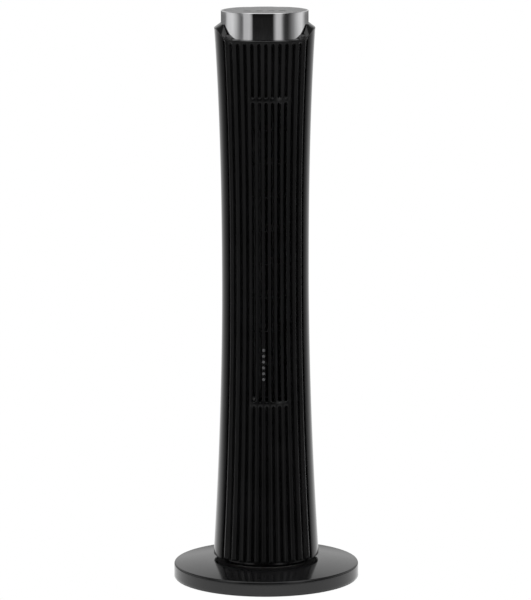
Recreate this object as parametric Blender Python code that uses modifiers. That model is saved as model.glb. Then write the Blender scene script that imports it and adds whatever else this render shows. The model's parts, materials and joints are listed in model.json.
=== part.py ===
"""Tower fan: a waisted, oscillating column on a round weighted base.

Units are metres and +Z is up. The origin is the middle of the base's underside, the air
outlet faces -Y, and +X is on the right of a person who stands in front of the fan.
The column turns on a spindle in the base, a long cross-flow wheel turns inside it, and
four push buttons sit in its top panel.
"""

import math

import bmesh
import bpy
from mathutils import Matrix

# Overall sizes
HEIGHT = 1.000
BASE_RADIUS = 0.1625
FIT_GAP = 0.0003  # left between pieces that touch
WALL = 0.0025  # moulded wall
CUT_DEPTH = 0.050  # how far a cutter reaches through a wall

# Column: radius at the waist, and how it flares to the shoulder and to the foot
COLUMN_BOTTOM = 0.042
WAIST_HEIGHT = 0.535
WAIST_RADIUS = 0.0759
SHOULDER_HEIGHT = 0.9702
SHOULDER_FLARE = 0.0115
SHOULDER_POWER = 2.4
FOOT_FLARE = 0.0168
FOOT_POWER = 1.85
SHOULDER_LIP = (0.0777, 0.9776)  # inner edge of the bevelled shoulder (radius, height)
SHELL_HALF_ANGLE = math.radians(122.0)  # the casing covers this much on each side of the back
CORNER_WIDTH = 0.0745  # the shoulder's front corners are cut away within this distance of the middle
CORNER_HEIGHT = 0.953  # and above this height

# Screws that hold the front panel to the casing, seen on the back
SHELL_SCREW_HEIGHTS = (0.110, 0.915)
SHELL_SCREW_ANGLE = math.radians(62.0)  # from the middle of the back
SHELL_SCREW_HOLE = 0.0019
SHELL_SCREW_SEAT = 0.0021  # from the casing's surface to the top of the head

# Front panel and the air outlet in it
FRONT_RIM = 0.9535  # top of the front panel, lower than the shoulder
FRONT_RIM_INNER = 0.0762
FRONT_RIM_OUTER = 0.0840
FRONT_SIDE_TOP = 0.9510
FRONT_HALF_ANGLE = math.radians(57.6)
WINDOW_LOW = 0.325
WINDOW_HIGH = 0.852
RIB_PITCH = 0.140  # as a fraction of the column's radius
SLOT_WIDTH = 0.0047
SLOT_STEPS = (-2, -1, 0, 1, 2, 3)  # the outlet's slots, in rib pitches from the middle

# Indicator lenses, a row of small domes on the rib left of the middle slot
LENSES = 6
LENS_RADIUS = 0.0026
LENS_FLATTENING = 0.5
LENS_PITCH = 0.0102
LENS_MIDDLE = 0.3915
LENS_STRIP_WIDTH = 0.0042
LENS_STRIP_DEPTH = 0.0009

# Air intake in the back
INTAKE_LOW = 0.300
INTAKE_HIGH = 0.880
INTAKE_HALF_ANGLE = math.radians(38.0)
INTAKE_CLEARANCE = 0.0006  # between the grille's ends and the casing
INTAKE_MARGIN = 0.010  # solid band above and below the grille's slots
INTAKE_ROWS = 14
INTAKE_SLOT_WIDTH = 0.036
INTAKE_SLOT_OFFSET = 0.0215  # from the middle of the back to the middle of a slot
GRILLE_WALL = 0.002

# Cap and controls
CAP_RADIUS = 0.0757
CAP_BOTTOM = 0.9445
CAP_WALL = 0.002
CAP_ROUND = 0.0015
PANEL_THICKNESS = 0.003
BUTTON_RADIUS = 0.0070
BUTTON_FLANGE = 0.0012
BUTTON_ROW_Y = -0.020
BUTTON_PITCH = 0.020
BUTTON_NAMES = ("power_button", "speed_button", "swing_button", "timer_button")
CARRIER_RADIUS = 0.0735
CARRIER_LOW, CARRIER_HIGH = 0.9400, 0.9430
CARRIER_POST_RADIUS = 0.003
CARRIER_POST_TOP = 0.9862
BOARD_THICKNESS = 0.0016
CONTROL_BOARD = (0.084, 0.056)
CONTROL_BOARD_Y = -0.007
SWITCH_SIZE = (0.006, 0.006, 0.0055)
SWITCH_MIDDLE = 0.9904

# Cross-flow wheel
WHEEL_Y = 0.008
WHEEL_RADIUS = 0.042
WHEEL_INNER_RADIUS = 0.034
WHEEL_SEGMENTS = 9
WHEEL_PITCH = (WINDOW_HIGH - WINDOW_LOW) / WHEEL_SEGMENTS
WHEEL_DISC = 0.002
WHEEL_END_DISC = 0.0025
BLADES = 12
BLADE_THICKNESS = 0.0014
BLADE_SETBACK = 0.0006  # keeps the blades' corners inside the discs
BLADE_STAGGER = math.radians(-28.0)
SHAFT_RADIUS = 0.004
SHAFT_LOW, SHAFT_HIGH = 0.2280, 0.3240
HUB_RADIUS = 0.0120
HUB_LOW = 0.3105
TOP_SHAFT_RADIUS = 0.0030
TOP_SHAFT_HIGH = 0.8760

# Air duct round the wheel
DUCT_LOW = WINDOW_LOW - 0.0106
DUCT_HIGH = WINDOW_HIGH + 0.0080
DUCT_PLATE_RADIUS = 0.0722
DUCT_PLATE = 0.0025
DUCT_WALL = 0.0018
DUCT_FLOOR_HOLE = 0.0150
DUCT_ROOF_HOLE = 0.0083
BUSH_RADIUS = 0.0080
BUSH_BORE = TOP_SHAFT_RADIUS + 0.00008
SCROLL_START, SCROLL_SWEEP = 105.0, 125.0  # degrees, turning clockwise as seen from above
SCROLL_RADIUS, SCROLL_GROWTH = 0.0455, 0.0165
SCROLL_STEPS = 11
SCROLL_OUTLET = ((0.0520, -0.030), (0.0415, -0.046), (0.0375, -0.0600))
TONGUE_ROUTE = ((-0.0270, -0.0650), (-0.0300, -0.0500), (-0.0330, -0.0310), (-0.0410, -0.0290),
                (-0.0640, -0.0250))

# Main motor and its cage, as (radius, height) outlines
MOTOR_OUTLINE = ((0.0100, 0.3040), (0.0100, 0.2980), (0.0360, 0.2980), (0.0360, 0.2380),
                 (0.0041, 0.2380), (0.0041, 0.3040))
CAGE_OUTLINE = ((0.0450, 0.3115), (0.0450, 0.3090), (0.0400, 0.3090), (0.0400, 0.2300),
                (0.0120, 0.2300), (0.0120, 0.2325), (0.0375, 0.2325), (0.0375, 0.3115))

# Turning floor of the column, and what stands on it
FLOOR_RADIUS = 0.0870
FLOOR_TOP = 0.0455
SLEEVE_RADIUS = 0.0220
SLEEVE_TOP = 0.0542
POST_RADIUS = 0.0035
POST_BOTTOM = 0.044
MOTOR_POST_TOP = 0.0657
BOARD_POST_TOP = 0.1097
MOTOR_POST_X = 0.030
BOARD_POSTS_X = (-0.044, 0.044)
BOARD_POSTS_Y = (-0.044, 0.058)
POWER_BOARD = (0.100, 0.114)
POWER_BOARD_PLACE = (0.0, 0.007, 0.1108)
CAPACITOR = (0.038, 0.019, 0.030)
CAPACITOR_PLACE = (-0.020, 0.040, 0.1269)
SWING_MOTOR_RADIUS = 0.0230
SWING_MOTOR_LOW, SWING_MOTOR_HIGH = 0.0662, 0.0840
SWING_MOTOR_EARS = (0.072, 0.012, 0.0016)
SWING_MOTOR_EARS_MIDDLE = 0.0668

# Base
BASE_WALL = 0.003
RIM_BOTTOM = 0.0015
RIM_TOP = 0.0225
NECK_TOP = 0.0395  # the raised middle, which the column turns on
NECK_RADIUS = 0.0740
NECK_HOLE = 0.0225  # round the spindle
DECK_HEIGHT = 0.0350  # the flat under the column's edge
DECK_RADIUS = 0.0905
DOME_RADIUS = 0.1600  # the dome runs from the deck out to here, then rounds over into the rim
DOME_DROP = 0.0088
DOME_POWER = 1.4
DOME_STEPS = 4
FEET = 6
FOOT_CIRCLE = 0.136
FOOT_PAD_RADIUS = 0.010
FOOT_PAD_HEIGHT = 0.0032
BASE_PLATE_RADIUS = 0.1578
BASE_PLATE_HOLE = 0.009
BASE_PLATE_HEIGHT = 0.0035
BALLAST_OUTER, BALLAST_INNER = 0.138, 0.062
BALLAST_LOW, BALLAST_HIGH = 0.0068, 0.0168
SLIDE_OUTER, SLIDE_INNER = 0.070, 0.044
CORD_HEIGHT = 0.0131
CORD_HOLE_RADIUS = 0.0053
CORD_BORE_RADIUS = 0.0033
GROMMET_NECK = 0.0034  # depth of the bush's part that fills the hole
GROMMET_DEPTH = 0.0066
GROMMET_FLANGE = CORD_HOLE_RADIUS + 0.0008

# Screws: (head radius, shank radius, head height, whole length)
BASE_SCREW = (0.0040, 0.0020, 0.0018, 0.0150)
BASE_SCREWS = 4
BASE_SCREW_CIRCLE = 0.148
BASE_SCREW_LOW = 0.0014
BASE_SCREW_HOLE = 0.0024
SHELL_SCREW = (0.0036, 0.0015, 0.0016, 0.0110)

# Spindle and the gear pair that swings the column
SPINDLE_RADIUS = 0.016
SPINDLE_STEPS = 24  # sides of the spindle and of the sleeve that turns round it
RUNNING_GAP = 0.0001  # between the spindle's corners and the sleeve's flats
SPINDLE_BORE = 0.008
SPINDLE_FOOT, SPINDLE_FLANGE = 0.0200, 0.0480  # radii of its thick foot and of the flange
SPINDLE_FLANGE_THICKNESS = 0.003
SPINDLE_FOOT_TOP, SPINDLE_TAPER_TOP = 0.0380, 0.0405
SPINDLE_SHOULDER, SPINDLE_TOP = 0.0544, 0.0675
KEY_RADIUS = 0.012
GEAR_MODULE = 0.0015
SECTOR_TEETH = 48  # teeth of the full circle that the sector is cut from
SECTOR_HALF_ANGLE = math.radians(58.0)
SECTOR_HUB = 0.0200
SECTOR_HUB_STEPS = 14
SECTOR_ADDENDUM, SECTOR_DEDENDUM = 0.0012, 0.0019
PINION_TEETH = 12
PINION_ADDENDUM, PINION_DEDENDUM = 0.0014, 0.0016
PINION_SHAFT_RADIUS = 0.003
PINION_SHAFT_TOP = 0.0658
GEAR_LOW = 0.0548
GEAR_HIGH = 0.0608
GEAR_CENTRES = GEAR_MODULE * (SECTOR_TEETH + PINION_TEETH) / 2
GEAR_BACKLASH = 0.00030
PRESSURE_ANGLE = math.radians(25.0)
NUT_RADIUS = 0.0190
NUT_TOP = 0.0655

TURN = 2 * math.pi


# Scene, materials and small helpers


def clear_scene():
    for obj in list(bpy.data.objects):
        bpy.data.objects.remove(obj, do_unlink=True)


def new_collection(name):
    collection = bpy.data.collections.new(name)
    bpy.context.scene.collection.children.link(collection)
    return collection


def new_material(name, grey, roughness, metallic=0.0, tint=(1.0, 1.0, 1.0)):
    material = bpy.data.materials.new(name)
    material.use_nodes = True
    shader = material.node_tree.nodes["Principled BSDF"]
    colour = [grey * part for part in tint]
    shader.inputs["Base Color"].default_value = (*colour, 1.0)
    shader.inputs["Roughness"].default_value = roughness
    shader.inputs["Metallic"].default_value = metallic
    return material


clear_scene()
PARTS = new_collection("tower_fan")
CUTTERS = new_collection("cutters")

GLOSS_BLACK = new_material("gloss_black", 0.012, 0.12)
SATIN_BLACK = new_material("satin_black", 0.020, 0.35)
CHARCOAL = new_material("charcoal", 0.045, 0.25)
CHROME = new_material("chrome", 0.75, 0.08, 1.0)
PANEL_GREY = new_material("panel_grey", 0.20, 0.40)
LENS_GREY = new_material("lens_grey", 0.06, 0.20)
STEEL = new_material("steel", 0.55, 0.30, 1.0)
CAST_IRON = new_material("cast_iron", 0.10, 0.70, 1.0)
RUBBER = new_material("rubber", 0.025, 0.85)
WHITE_PLASTIC = new_material("white_plastic", 0.75, 0.45)
BOARD_GREEN = new_material("board_green", 0.25, 0.50, 0.0, (0.2, 1.0, 0.35))
CAPACITOR_BLUE = new_material("capacitor_blue", 0.30, 0.45, 0.0, (0.2, 0.4, 1.0))


def body_empty(name, place):
    """A body's frame: its pieces hang under it, and its origin lies on the joint's axis."""
    empty = bpy.data.objects.new(name, None)
    empty.location = place
    PARTS.objects.link(empty)
    return empty


def add_part(obj, material, body):
    """Gives a finished piece its material, its body and its place in the parts collection."""
    obj.data.materials.append(material)
    obj.parent = body
    PARTS.objects.link(obj)
    return obj


def as_tool(obj):
    """Makes the object a helper for Boolean modifiers, which isn't part of the fan."""
    obj.display_type = "WIRE"
    obj.hide_render = True
    CUTTERS.objects.link(obj)
    return obj


def boolean(obj, tool, operation):
    modifier = obj.modifiers.new(operation.lower(), "BOOLEAN")
    modifier.operation = operation
    modifier.object = tool
    return obj


def cut(obj, tool):
    return boolean(obj, tool, "DIFFERENCE")


def join(obj, tool):
    return boolean(obj, tool, "UNION")


def object_from(name, mesh_builder):
    mesh = bpy.data.meshes.new(name)
    mesh_builder.to_mesh(mesh)
    mesh_builder.free()
    mesh.shade_smooth()
    mesh.set_sharp_from_angle(angle=math.radians(35))
    return bpy.data.objects.new(name, mesh)


def add_box(builder, size, centre, turn=0.0):
    matrix = Matrix.Translation(centre) @ Matrix.Rotation(turn, 4, "Z") @ Matrix.Diagonal((*size, 1.0))
    bmesh.ops.create_cube(builder, size=1.0, matrix=matrix)


def add_cylinder(builder, radius, low, high, centre=(0.0, 0.0), sides=24):
    place = Matrix.Translation((*centre, (low + high) / 2))
    bmesh.ops.create_cone(
        builder,
        cap_ends=True,
        segments=sides,
        radius1=radius,
        radius2=radius,
        depth=high - low,
        matrix=place,
    )


def box(name, size, centre):
    builder = bmesh.new()
    add_box(builder, size, centre)
    return object_from(name, builder)


def cylinders(name, radius, low, high, centres=((0.0, 0.0),), sides=24):
    builder = bmesh.new()
    for centre in centres:
        add_cylinder(builder, radius, low, high, centre, sides)
    return object_from(name, builder)


def circle_points(count, radius, first_angle=0.0):
    for index in range(count):
        angle = first_angle + TURN * index / count
        yield radius * math.cos(angle), radius * math.sin(angle)


def turned(name, profile, steps, closed=True, sweep=TURN, first_angle=0.0):
    """Turns (radius, height) points, listed down the outer side, about the Z axis."""
    points = [(radius, 0.0, height) for radius, height in profile]
    edges = [(index, index + 1) for index in range(len(points) - 1)]
    if closed:
        edges.append((len(points) - 1, 0))
    mesh = bpy.data.meshes.new(name)
    mesh.from_pydata(points, edges, [])
    obj = bpy.data.objects.new(name, mesh)
    obj.rotation_euler.z = first_angle
    screw = obj.modifiers.new("turn", "SCREW")
    screw.axis = "Z"
    screw.angle = sweep
    screw.steps = steps
    screw.render_steps = steps
    screw.use_merge_vertices = sweep == TURN
    screw.merge_threshold = 0.00001
    return obj


def ring(name, outer, inner, low, high, steps=32):
    return turned(name, [(outer, high), (outer, low), (inner, low), (inner, high)], steps)


def thicken(obj, thickness):
    """Turns an open surface into a closed wall, with its thickness on the inner side."""
    modifier = obj.modifiers.new("wall", "SOLIDIFY")
    modifier.thickness = thickness
    modifier.offset = -1.0
    modifier.use_even_offset = True
    return obj


# Column outline


def column_radius(height):
    if height >= WAIST_HEIGHT:
        share = (height - WAIST_HEIGHT) / (SHOULDER_HEIGHT - WAIST_HEIGHT)
        return WAIST_RADIUS + SHOULDER_FLARE * share**SHOULDER_POWER
    share = (WAIST_HEIGHT - height) / (WAIST_HEIGHT - COLUMN_BOTTOM)
    return WAIST_RADIUS + FOOT_FLARE * share**FOOT_POWER


def column_profile(high, low, steps):
    heights = [high + (low - high) * index / steps for index in range(steps + 1)]
    return [(column_radius(height), height) for height in heights]


def wall_arc(name, profile, half_angle, middle_angle, steps, thickness=WALL):
    """A curved wall of the column that spans half_angle on each side of middle_angle."""
    wall = turned(name, profile, steps, False, 2 * half_angle, middle_angle - half_angle)
    return thicken(wall, thickness)


# Base


def dome_height(radius):
    share = (radius - DECK_RADIUS) / (DOME_RADIUS - DECK_RADIUS)
    return DECK_HEIGHT - DOME_DROP * share**DOME_POWER


def make_base_cover(body):
    top = [(NECK_HOLE, NECK_TOP), (NECK_RADIUS, NECK_TOP), (NECK_RADIUS, DECK_HEIGHT)]
    for step in range(DOME_STEPS + 1):
        radius = DECK_RADIUS + (DOME_RADIUS - DECK_RADIUS) * step / DOME_STEPS
        top.append((radius, dome_height(radius)))
    top += [(BASE_RADIUS, RIM_TOP), (BASE_RADIUS, RIM_BOTTOM)]
    cover = thicken(turned("base_cover", top, 40, closed=False), BASE_WALL)
    hole = cylinders("cord_hole", CORD_HOLE_RADIUS, -CUT_DEPTH / 4, CUT_DEPTH / 4, sides=16)
    hole.location = (0.0, BASE_RADIUS, CORD_HEIGHT)
    hole.rotation_euler.x = math.radians(90)
    cut(cover, as_tool(hole))
    return add_part(cover, CHARCOAL, body)


def base_screw_places():
    return list(circle_points(BASE_SCREWS, BASE_SCREW_CIRCLE, TURN / 8))


def make_base_plate(body):
    low, high = BASE_PLATE_HEIGHT, BASE_PLATE_HEIGHT + BASE_WALL
    plate = ring("base_bottom_plate", BASE_PLATE_RADIUS, BASE_PLATE_HOLE, low, high, 40)
    holes = cylinders("base_screw_holes", BASE_SCREW_HOLE, low - BASE_WALL, high + BASE_WALL,
                      base_screw_places(), 10)
    cut(plate, as_tool(holes))
    return add_part(plate, SATIN_BLACK, body)


def make_feet(body):
    for index, centre in enumerate(circle_points(FEET, FOOT_CIRCLE, TURN / 12), start=1):
        pad = cylinders(f"foot_pad_{index}", FOOT_PAD_RADIUS, 0.0, FOOT_PAD_HEIGHT, [centre], 16)
        add_part(pad, RUBBER, body)


def make_screw(name, head_radius, shank_radius, head_height, length):
    """A pan-head screw along Z, with its head below the shank."""
    builder = bmesh.new()
    add_cylinder(builder, head_radius, 0.0, head_height, sides=10)
    screw = object_from(name, builder)
    shank = cylinders(f"{name}_shank", shank_radius, head_height / 2, length, sides=8)
    shank.parent = screw
    return join(screw, as_tool(shank))


def make_base_screws(body):
    for index, (x, y) in enumerate(base_screw_places(), start=1):
        screw = make_screw(f"base_screw_{index}", *BASE_SCREW)
        screw.location = (x, y, BASE_SCREW_LOW)
        add_part(screw, STEEL, body)


def make_spindle(body):
    """A flanged post: a thick foot, the bearing length, and a thin end for the gear and the nut."""
    flange_low = BASE_PLATE_HEIGHT + BASE_WALL + FIT_GAP
    flange_high = flange_low + SPINDLE_FLANGE_THICKNESS
    profile = [
        (KEY_RADIUS, SPINDLE_TOP),
        (KEY_RADIUS, SPINDLE_SHOULDER),
        (SPINDLE_RADIUS, SPINDLE_SHOULDER),
        (SPINDLE_RADIUS, SPINDLE_TAPER_TOP),
        (SPINDLE_FOOT, SPINDLE_FOOT_TOP),
        (SPINDLE_FOOT, flange_high),
        (SPINDLE_FLANGE, flange_high),
        (SPINDLE_FLANGE, flange_low),
        (SPINDLE_BORE, flange_low),
        (SPINDLE_BORE, SPINDLE_TOP),
    ]
    return add_part(turned("turntable_spindle", profile, SPINDLE_STEPS), STEEL, body)


def make_cord_grommet(body):
    """The bush in the rear of the base where the mains lead would leave."""
    neck = CORD_HOLE_RADIUS - FIT_GAP
    profile = [(neck, 0.0), (neck, -GROMMET_NECK), (GROMMET_FLANGE, -GROMMET_NECK - FIT_GAP)]
    profile += [(GROMMET_FLANGE, -GROMMET_DEPTH), (CORD_BORE_RADIUS, -GROMMET_DEPTH), (CORD_BORE_RADIUS, 0.0)]
    grommet = turned("cord_grommet", profile, 16)
    grommet.location = (0.0, BASE_RADIUS - FIT_GAP, CORD_HEIGHT)
    grommet.rotation_euler = (math.radians(-90), 0.0, 0.0)
    return add_part(grommet, RUBBER, body)


def gear_outline(teeth, first_tooth, count, tip_radius, root_radius):
    """Points of involute teeth about the origin, from the first tooth through count teeth."""
    pitch_radius = GEAR_MODULE * teeth / 2
    base_radius = pitch_radius * math.cos(PRESSURE_ANGLE)
    half_tooth = (TURN / 4 - GEAR_BACKLASH / (2 * GEAR_MODULE)) / teeth

    def involute(radius):
        angle = math.acos(min(1.0, base_radius / radius))
        return math.tan(angle) - angle

    def half_angle(radius):
        return half_tooth + involute(pitch_radius) - involute(radius)

    flank = [root_radius, pitch_radius, tip_radius]
    points = []
    for tooth in range(count):
        middle = first_tooth + TURN * tooth / teeth
        for radius in flank:
            points.append((radius, middle - half_angle(radius)))
        for radius in reversed(flank):
            points.append((radius, middle + half_angle(radius)))
    return [(radius * math.cos(angle), radius * math.sin(angle)) for radius, angle in points]


def extruded(name, outline, low, high):
    """A flat outline, drawn anticlockwise, stretched from low to high."""
    builder = bmesh.new()
    face = builder.faces.new([builder.verts.new((x, y, low)) for x, y in outline])
    grown = bmesh.ops.extrude_face_region(builder, geom=[face])
    raised = [item for item in grown["geom"] if isinstance(item, bmesh.types.BMVert)]
    bmesh.ops.translate(builder, verts=raised, vec=(0.0, 0.0, high - low))
    bmesh.ops.recalc_face_normals(builder, faces=builder.faces)
    return object_from(name, builder)


def key_bore(name):
    """Cutter for a hole that fits the spindle's thin end."""
    return cylinders(name, KEY_RADIUS + FIT_GAP, SPINDLE_SHOULDER - BASE_WALL, SPINDLE_TOP + BASE_WALL)


def make_sector_gear(body):
    """The fixed gear on the spindle: teeth only where the column's swing needs them."""
    pitch_angle = TURN / SECTOR_TEETH
    side_teeth = int(SECTOR_HALF_ANGLE / pitch_angle)
    first = TURN / 4 - side_teeth * pitch_angle
    pitch_radius = GEAR_MODULE * SECTOR_TEETH / 2
    tip, root = pitch_radius + SECTOR_ADDENDUM, pitch_radius - SECTOR_DEDENDUM
    outline = gear_outline(SECTOR_TEETH, first, 2 * side_teeth + 1, tip, root)
    start = first + (2 * side_teeth + 1) * pitch_angle
    for index in range(SECTOR_HUB_STEPS + 1):
        angle = start + (TURN - (2 * side_teeth + 2) * pitch_angle) * index / SECTOR_HUB_STEPS
        outline.append((SECTOR_HUB * math.cos(angle), SECTOR_HUB * math.sin(angle)))
    gear = extruded("swing_sector_gear", outline, GEAR_LOW, GEAR_HIGH)
    cut(gear, as_tool(key_bore("sector_bore")))
    return add_part(gear, WHITE_PLASTIC, body)


def make_spindle_nut(body):
    nut = cylinders("spindle_nut", NUT_RADIUS, GEAR_HIGH + FIT_GAP, NUT_TOP, sides=6)
    cut(nut, as_tool(key_bore("nut_bore")))
    return add_part(nut, STEEL, body)


def make_base(body):
    make_base_cover(body)
    make_base_plate(body)
    ballast = ring("ballast_ring", BALLAST_OUTER, BALLAST_INNER, BALLAST_LOW, BALLAST_HIGH)
    add_part(ballast, CAST_IRON, body)
    make_feet(body)
    make_base_screws(body)
    make_spindle(body)
    slide = ring("slide_ring", SLIDE_OUTER, SLIDE_INNER, NECK_TOP + FIT_GAP, COLUMN_BOTTOM - FIT_GAP)
    add_part(slide, WHITE_PLASTIC, body)
    make_sector_gear(body)
    make_spindle_nut(body)
    make_cord_grommet(body)


# Column casing


def shoulder_corner_cutter():
    """Takes the bevelled shoulder away along the front, where the front panel's lower rim runs."""
    depth = 2 * CAP_RADIUS
    span = HEIGHT - CORNER_HEIGHT
    return as_tool(box("shoulder_corner_cut", (2 * CORNER_WIDTH, depth, span),
                       (0.0, -depth / 2, CORNER_HEIGHT + span / 2)))


def shell_screw_places():
    """(angle, height) of the screws."""
    for height in SHELL_SCREW_HEIGHTS:
        for side in (-1, 1):
            yield TURN / 4 + side * SHELL_SCREW_ANGLE, height


def make_shell_screws(body):
    for index, (angle, height) in enumerate(shell_screw_places(), start=1):
        screw = make_screw(f"shell_screw_{index}", *SHELL_SCREW)
        reach = column_radius(height) + SHELL_SCREW_SEAT
        screw.location = (reach * math.cos(angle), reach * math.sin(angle), height)
        screw.rotation_euler = (0.0, math.radians(-90), angle)
        add_part(screw, STEEL, body)


def shell_screw_holes():
    builder = bmesh.new()
    for angle, height in shell_screw_places():
        turn = Matrix.Rotation(angle, 4, "Z") @ Matrix.Rotation(math.radians(90), 4, "Y")
        place = Matrix.Translation((0.0, 0.0, height)) @ turn
        place = place @ Matrix.Translation((0.0, 0.0, column_radius(height)))
        bmesh.ops.create_cone(
            builder,
            cap_ends=True,
            segments=8,
            radius1=SHELL_SCREW_HOLE,
            radius2=SHELL_SCREW_HOLE,
            depth=CUT_DEPTH / 2,
            matrix=place,
        )
    return as_tool(object_from("shell_screw_holes", builder))


def make_rear_shell(body):
    profile = [SHOULDER_LIP] + column_profile(SHOULDER_HEIGHT, COLUMN_BOTTOM, 13)
    shell = wall_arc("rear_shell", profile, SHELL_HALF_ANGLE, TURN / 4, 26)
    reach = WAIST_RADIUS + CUT_DEPTH / 2
    opening = [(reach, INTAKE_HIGH), (reach, INTAKE_LOW)]
    window_angle = INTAKE_HALF_ANGLE + math.radians(0.5)
    window = wall_arc("intake_opening", opening, window_angle, TURN / 4, 10, CUT_DEPTH)
    cut(shell, as_tool(window))
    cut(shell, shoulder_corner_cutter())
    cut(shell, shell_screw_holes())
    return add_part(shell, GLOSS_BLACK, body)


def make_rear_grille(body):
    high, low = INTAKE_HIGH - INTAKE_CLEARANCE, INTAKE_LOW + INTAKE_CLEARANCE
    profile = column_profile(high, low, 7)
    grille = wall_arc("rear_grille", profile, INTAKE_HALF_ANGLE, TURN / 4, 8, GRILLE_WALL)
    rows = bmesh.new()
    pitch = (high - low - 2 * INTAKE_MARGIN) / INTAKE_ROWS
    for row in range(INTAKE_ROWS):
        height = low + INTAKE_MARGIN + (row + 0.5) * pitch
        for side in (-1, 1):
            size = (INTAKE_SLOT_WIDTH, CUT_DEPTH, pitch / 2)
            add_box(rows, size, (side * INTAKE_SLOT_OFFSET, WAIST_RADIUS, height))
    cut(grille, as_tool(object_from("rear_grille_slots", rows)))
    return add_part(grille, SATIN_BLACK, body)


def make_front_grille(body):
    rim = [(FRONT_RIM_INNER, FRONT_RIM), (FRONT_RIM_OUTER, FRONT_RIM)]
    profile = rim + column_profile(FRONT_SIDE_TOP, COLUMN_BOTTOM, 12)
    panel = wall_arc("front_grille", profile, FRONT_HALF_ANGLE, -TURN / 4, 14, WALL)
    slots = bmesh.new()
    middle = (WINDOW_LOW + WINDOW_HIGH) / 2
    pitch = RIB_PITCH * column_radius(middle)
    for step in SLOT_STEPS:
        size = (SLOT_WIDTH, CUT_DEPTH, WINDOW_HIGH - WINDOW_LOW)
        add_box(slots, size, (step * pitch, -WAIST_RADIUS, middle))
    cut(panel, as_tool(object_from("front_grille_slots", slots)))
    return add_part(panel, GLOSS_BLACK, body)


def make_indicator_lenses(body):
    """A strip along the rib, leaning with it, that carries the row of lenses."""
    span = LENS_PITCH * (LENSES - 1)
    radius = column_radius(LENS_MIDDLE)
    lean = (column_radius(LENS_MIDDLE + span / 2) - column_radius(LENS_MIDDLE - span / 2)) / span
    strip_size = (LENS_STRIP_WIDTH, LENS_STRIP_DEPTH, span + 2 * LENS_RADIUS)
    strip = box("indicator_lenses", strip_size, (0.0, 0.0, 0.0))
    domes = bmesh.new()
    for index in range(LENSES):
        height = index * LENS_PITCH - span / 2
        flatten = Matrix.Diagonal((1.0, LENS_FLATTENING, 1.0, 1.0))
        place = Matrix.Translation((0.0, 0.0, height)) @ flatten
        bmesh.ops.create_uvsphere(domes, u_segments=12, v_segments=6, radius=LENS_RADIUS, matrix=place)
    bmesh.ops.bisect_plane(
        domes, geom=domes.verts[:] + domes.edges[:] + domes.faces[:], plane_co=(0.0, 0.0, 0.0),
        plane_no=(0.0, 1.0, 0.0), clear_outer=True
    )
    bmesh.ops.holes_fill(domes, edges=domes.edges, sides=0)
    lenses = object_from("lens_domes", domes)
    lenses.parent = strip
    join(strip, as_tool(lenses))
    strip.location = (-RIB_PITCH * radius / 2, -radius - LENS_STRIP_DEPTH / 2 - FIT_GAP, LENS_MIDDLE)
    strip.rotation_euler.x = math.atan(lean)
    return add_part(strip, LENS_GREY, body)


# Cap and controls


def button_places():
    first = -BUTTON_PITCH * (len(BUTTON_NAMES) - 1) / 2
    for index, name in enumerate(BUTTON_NAMES):
        yield name, (first + index * BUTTON_PITCH, BUTTON_ROW_Y)


def make_cap_ring(body):
    inner = CAP_RADIUS - CAP_WALL
    halfway = CAP_ROUND * (1.0 - math.sqrt(0.5))
    profile = [
        (inner, HEIGHT),
        (CAP_RADIUS - CAP_ROUND, HEIGHT),
        (CAP_RADIUS - halfway, HEIGHT - halfway),
        (CAP_RADIUS, HEIGHT - CAP_ROUND),
        (CAP_RADIUS, CAP_BOTTOM),
        (inner, CAP_BOTTOM),
    ]
    return add_part(turned("cap_ring", profile, 40), CHROME, body)


def make_top_panel(body):
    high = HEIGHT - FIT_GAP
    radius = CAP_RADIUS - CAP_WALL - 2 * FIT_GAP
    panel = cylinders("top_panel", radius, high - PANEL_THICKNESS, high, sides=40)
    places = [place for _, place in button_places()]
    hole_low, hole_high = high - 2 * PANEL_THICKNESS, high + PANEL_THICKNESS
    holes = cylinders("button_holes", BUTTON_RADIUS + FIT_GAP, hole_low, hole_high, places, 16)
    cut(panel, as_tool(holes))
    return add_part(panel, PANEL_GREY, body)


def make_buttons(tower):
    """Each button has its own body, with its origin on the line that it slides along."""
    top = HEIGHT - FIT_GAP
    stop = top - PANEL_THICKNESS - FIT_GAP
    flange = BUTTON_RADIUS + BUTTON_FLANGE
    for name, place in button_places():
        body = body_empty(f"{name}_body", (*place, 0.0))
        body.parent = tower
        profile = [(0.0, top), (BUTTON_RADIUS, top), (BUTTON_RADIUS, stop), (flange, stop)]
        profile += [(flange, stop - BUTTON_FLANGE), (0.0, stop - BUTTON_FLANGE)]
        add_part(turned(name, profile, 16, closed=False), SATIN_BLACK, body)


def make_cap_carrier(body):
    """The plate under the cap, with four posts that hold the control board."""
    carrier = cylinders("cap_carrier", CARRIER_RADIUS, CARRIER_LOW, CARRIER_HIGH, sides=32)
    width, depth = CONTROL_BOARD[0] - 4 * CARRIER_POST_RADIUS, CONTROL_BOARD[1] - 10 * FIT_GAP
    corners = [(x, CONTROL_BOARD_Y + y) for x in (-width / 2, width / 2) for y in (-depth / 2, depth / 2)]
    middle = (CARRIER_LOW + CARRIER_HIGH) / 2
    posts = cylinders("carrier_posts", CARRIER_POST_RADIUS, middle, CARRIER_POST_TOP, corners, 8)
    join(carrier, as_tool(posts))
    return add_part(carrier, SATIN_BLACK, body)


def make_control_board(body):
    """The board under the buttons, with a tact switch for each."""
    height = CARRIER_POST_TOP + FIT_GAP + BOARD_THICKNESS / 2
    board = box("control_board", (*CONTROL_BOARD, BOARD_THICKNESS), (0.0, CONTROL_BOARD_Y, height))
    switches = bmesh.new()
    for _, (x, y) in button_places():
        add_box(switches, SWITCH_SIZE, (x, y, SWITCH_MIDDLE))
    join(board, as_tool(object_from("tact_switches", switches)))
    return add_part(board, BOARD_GREEN, body)


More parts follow.
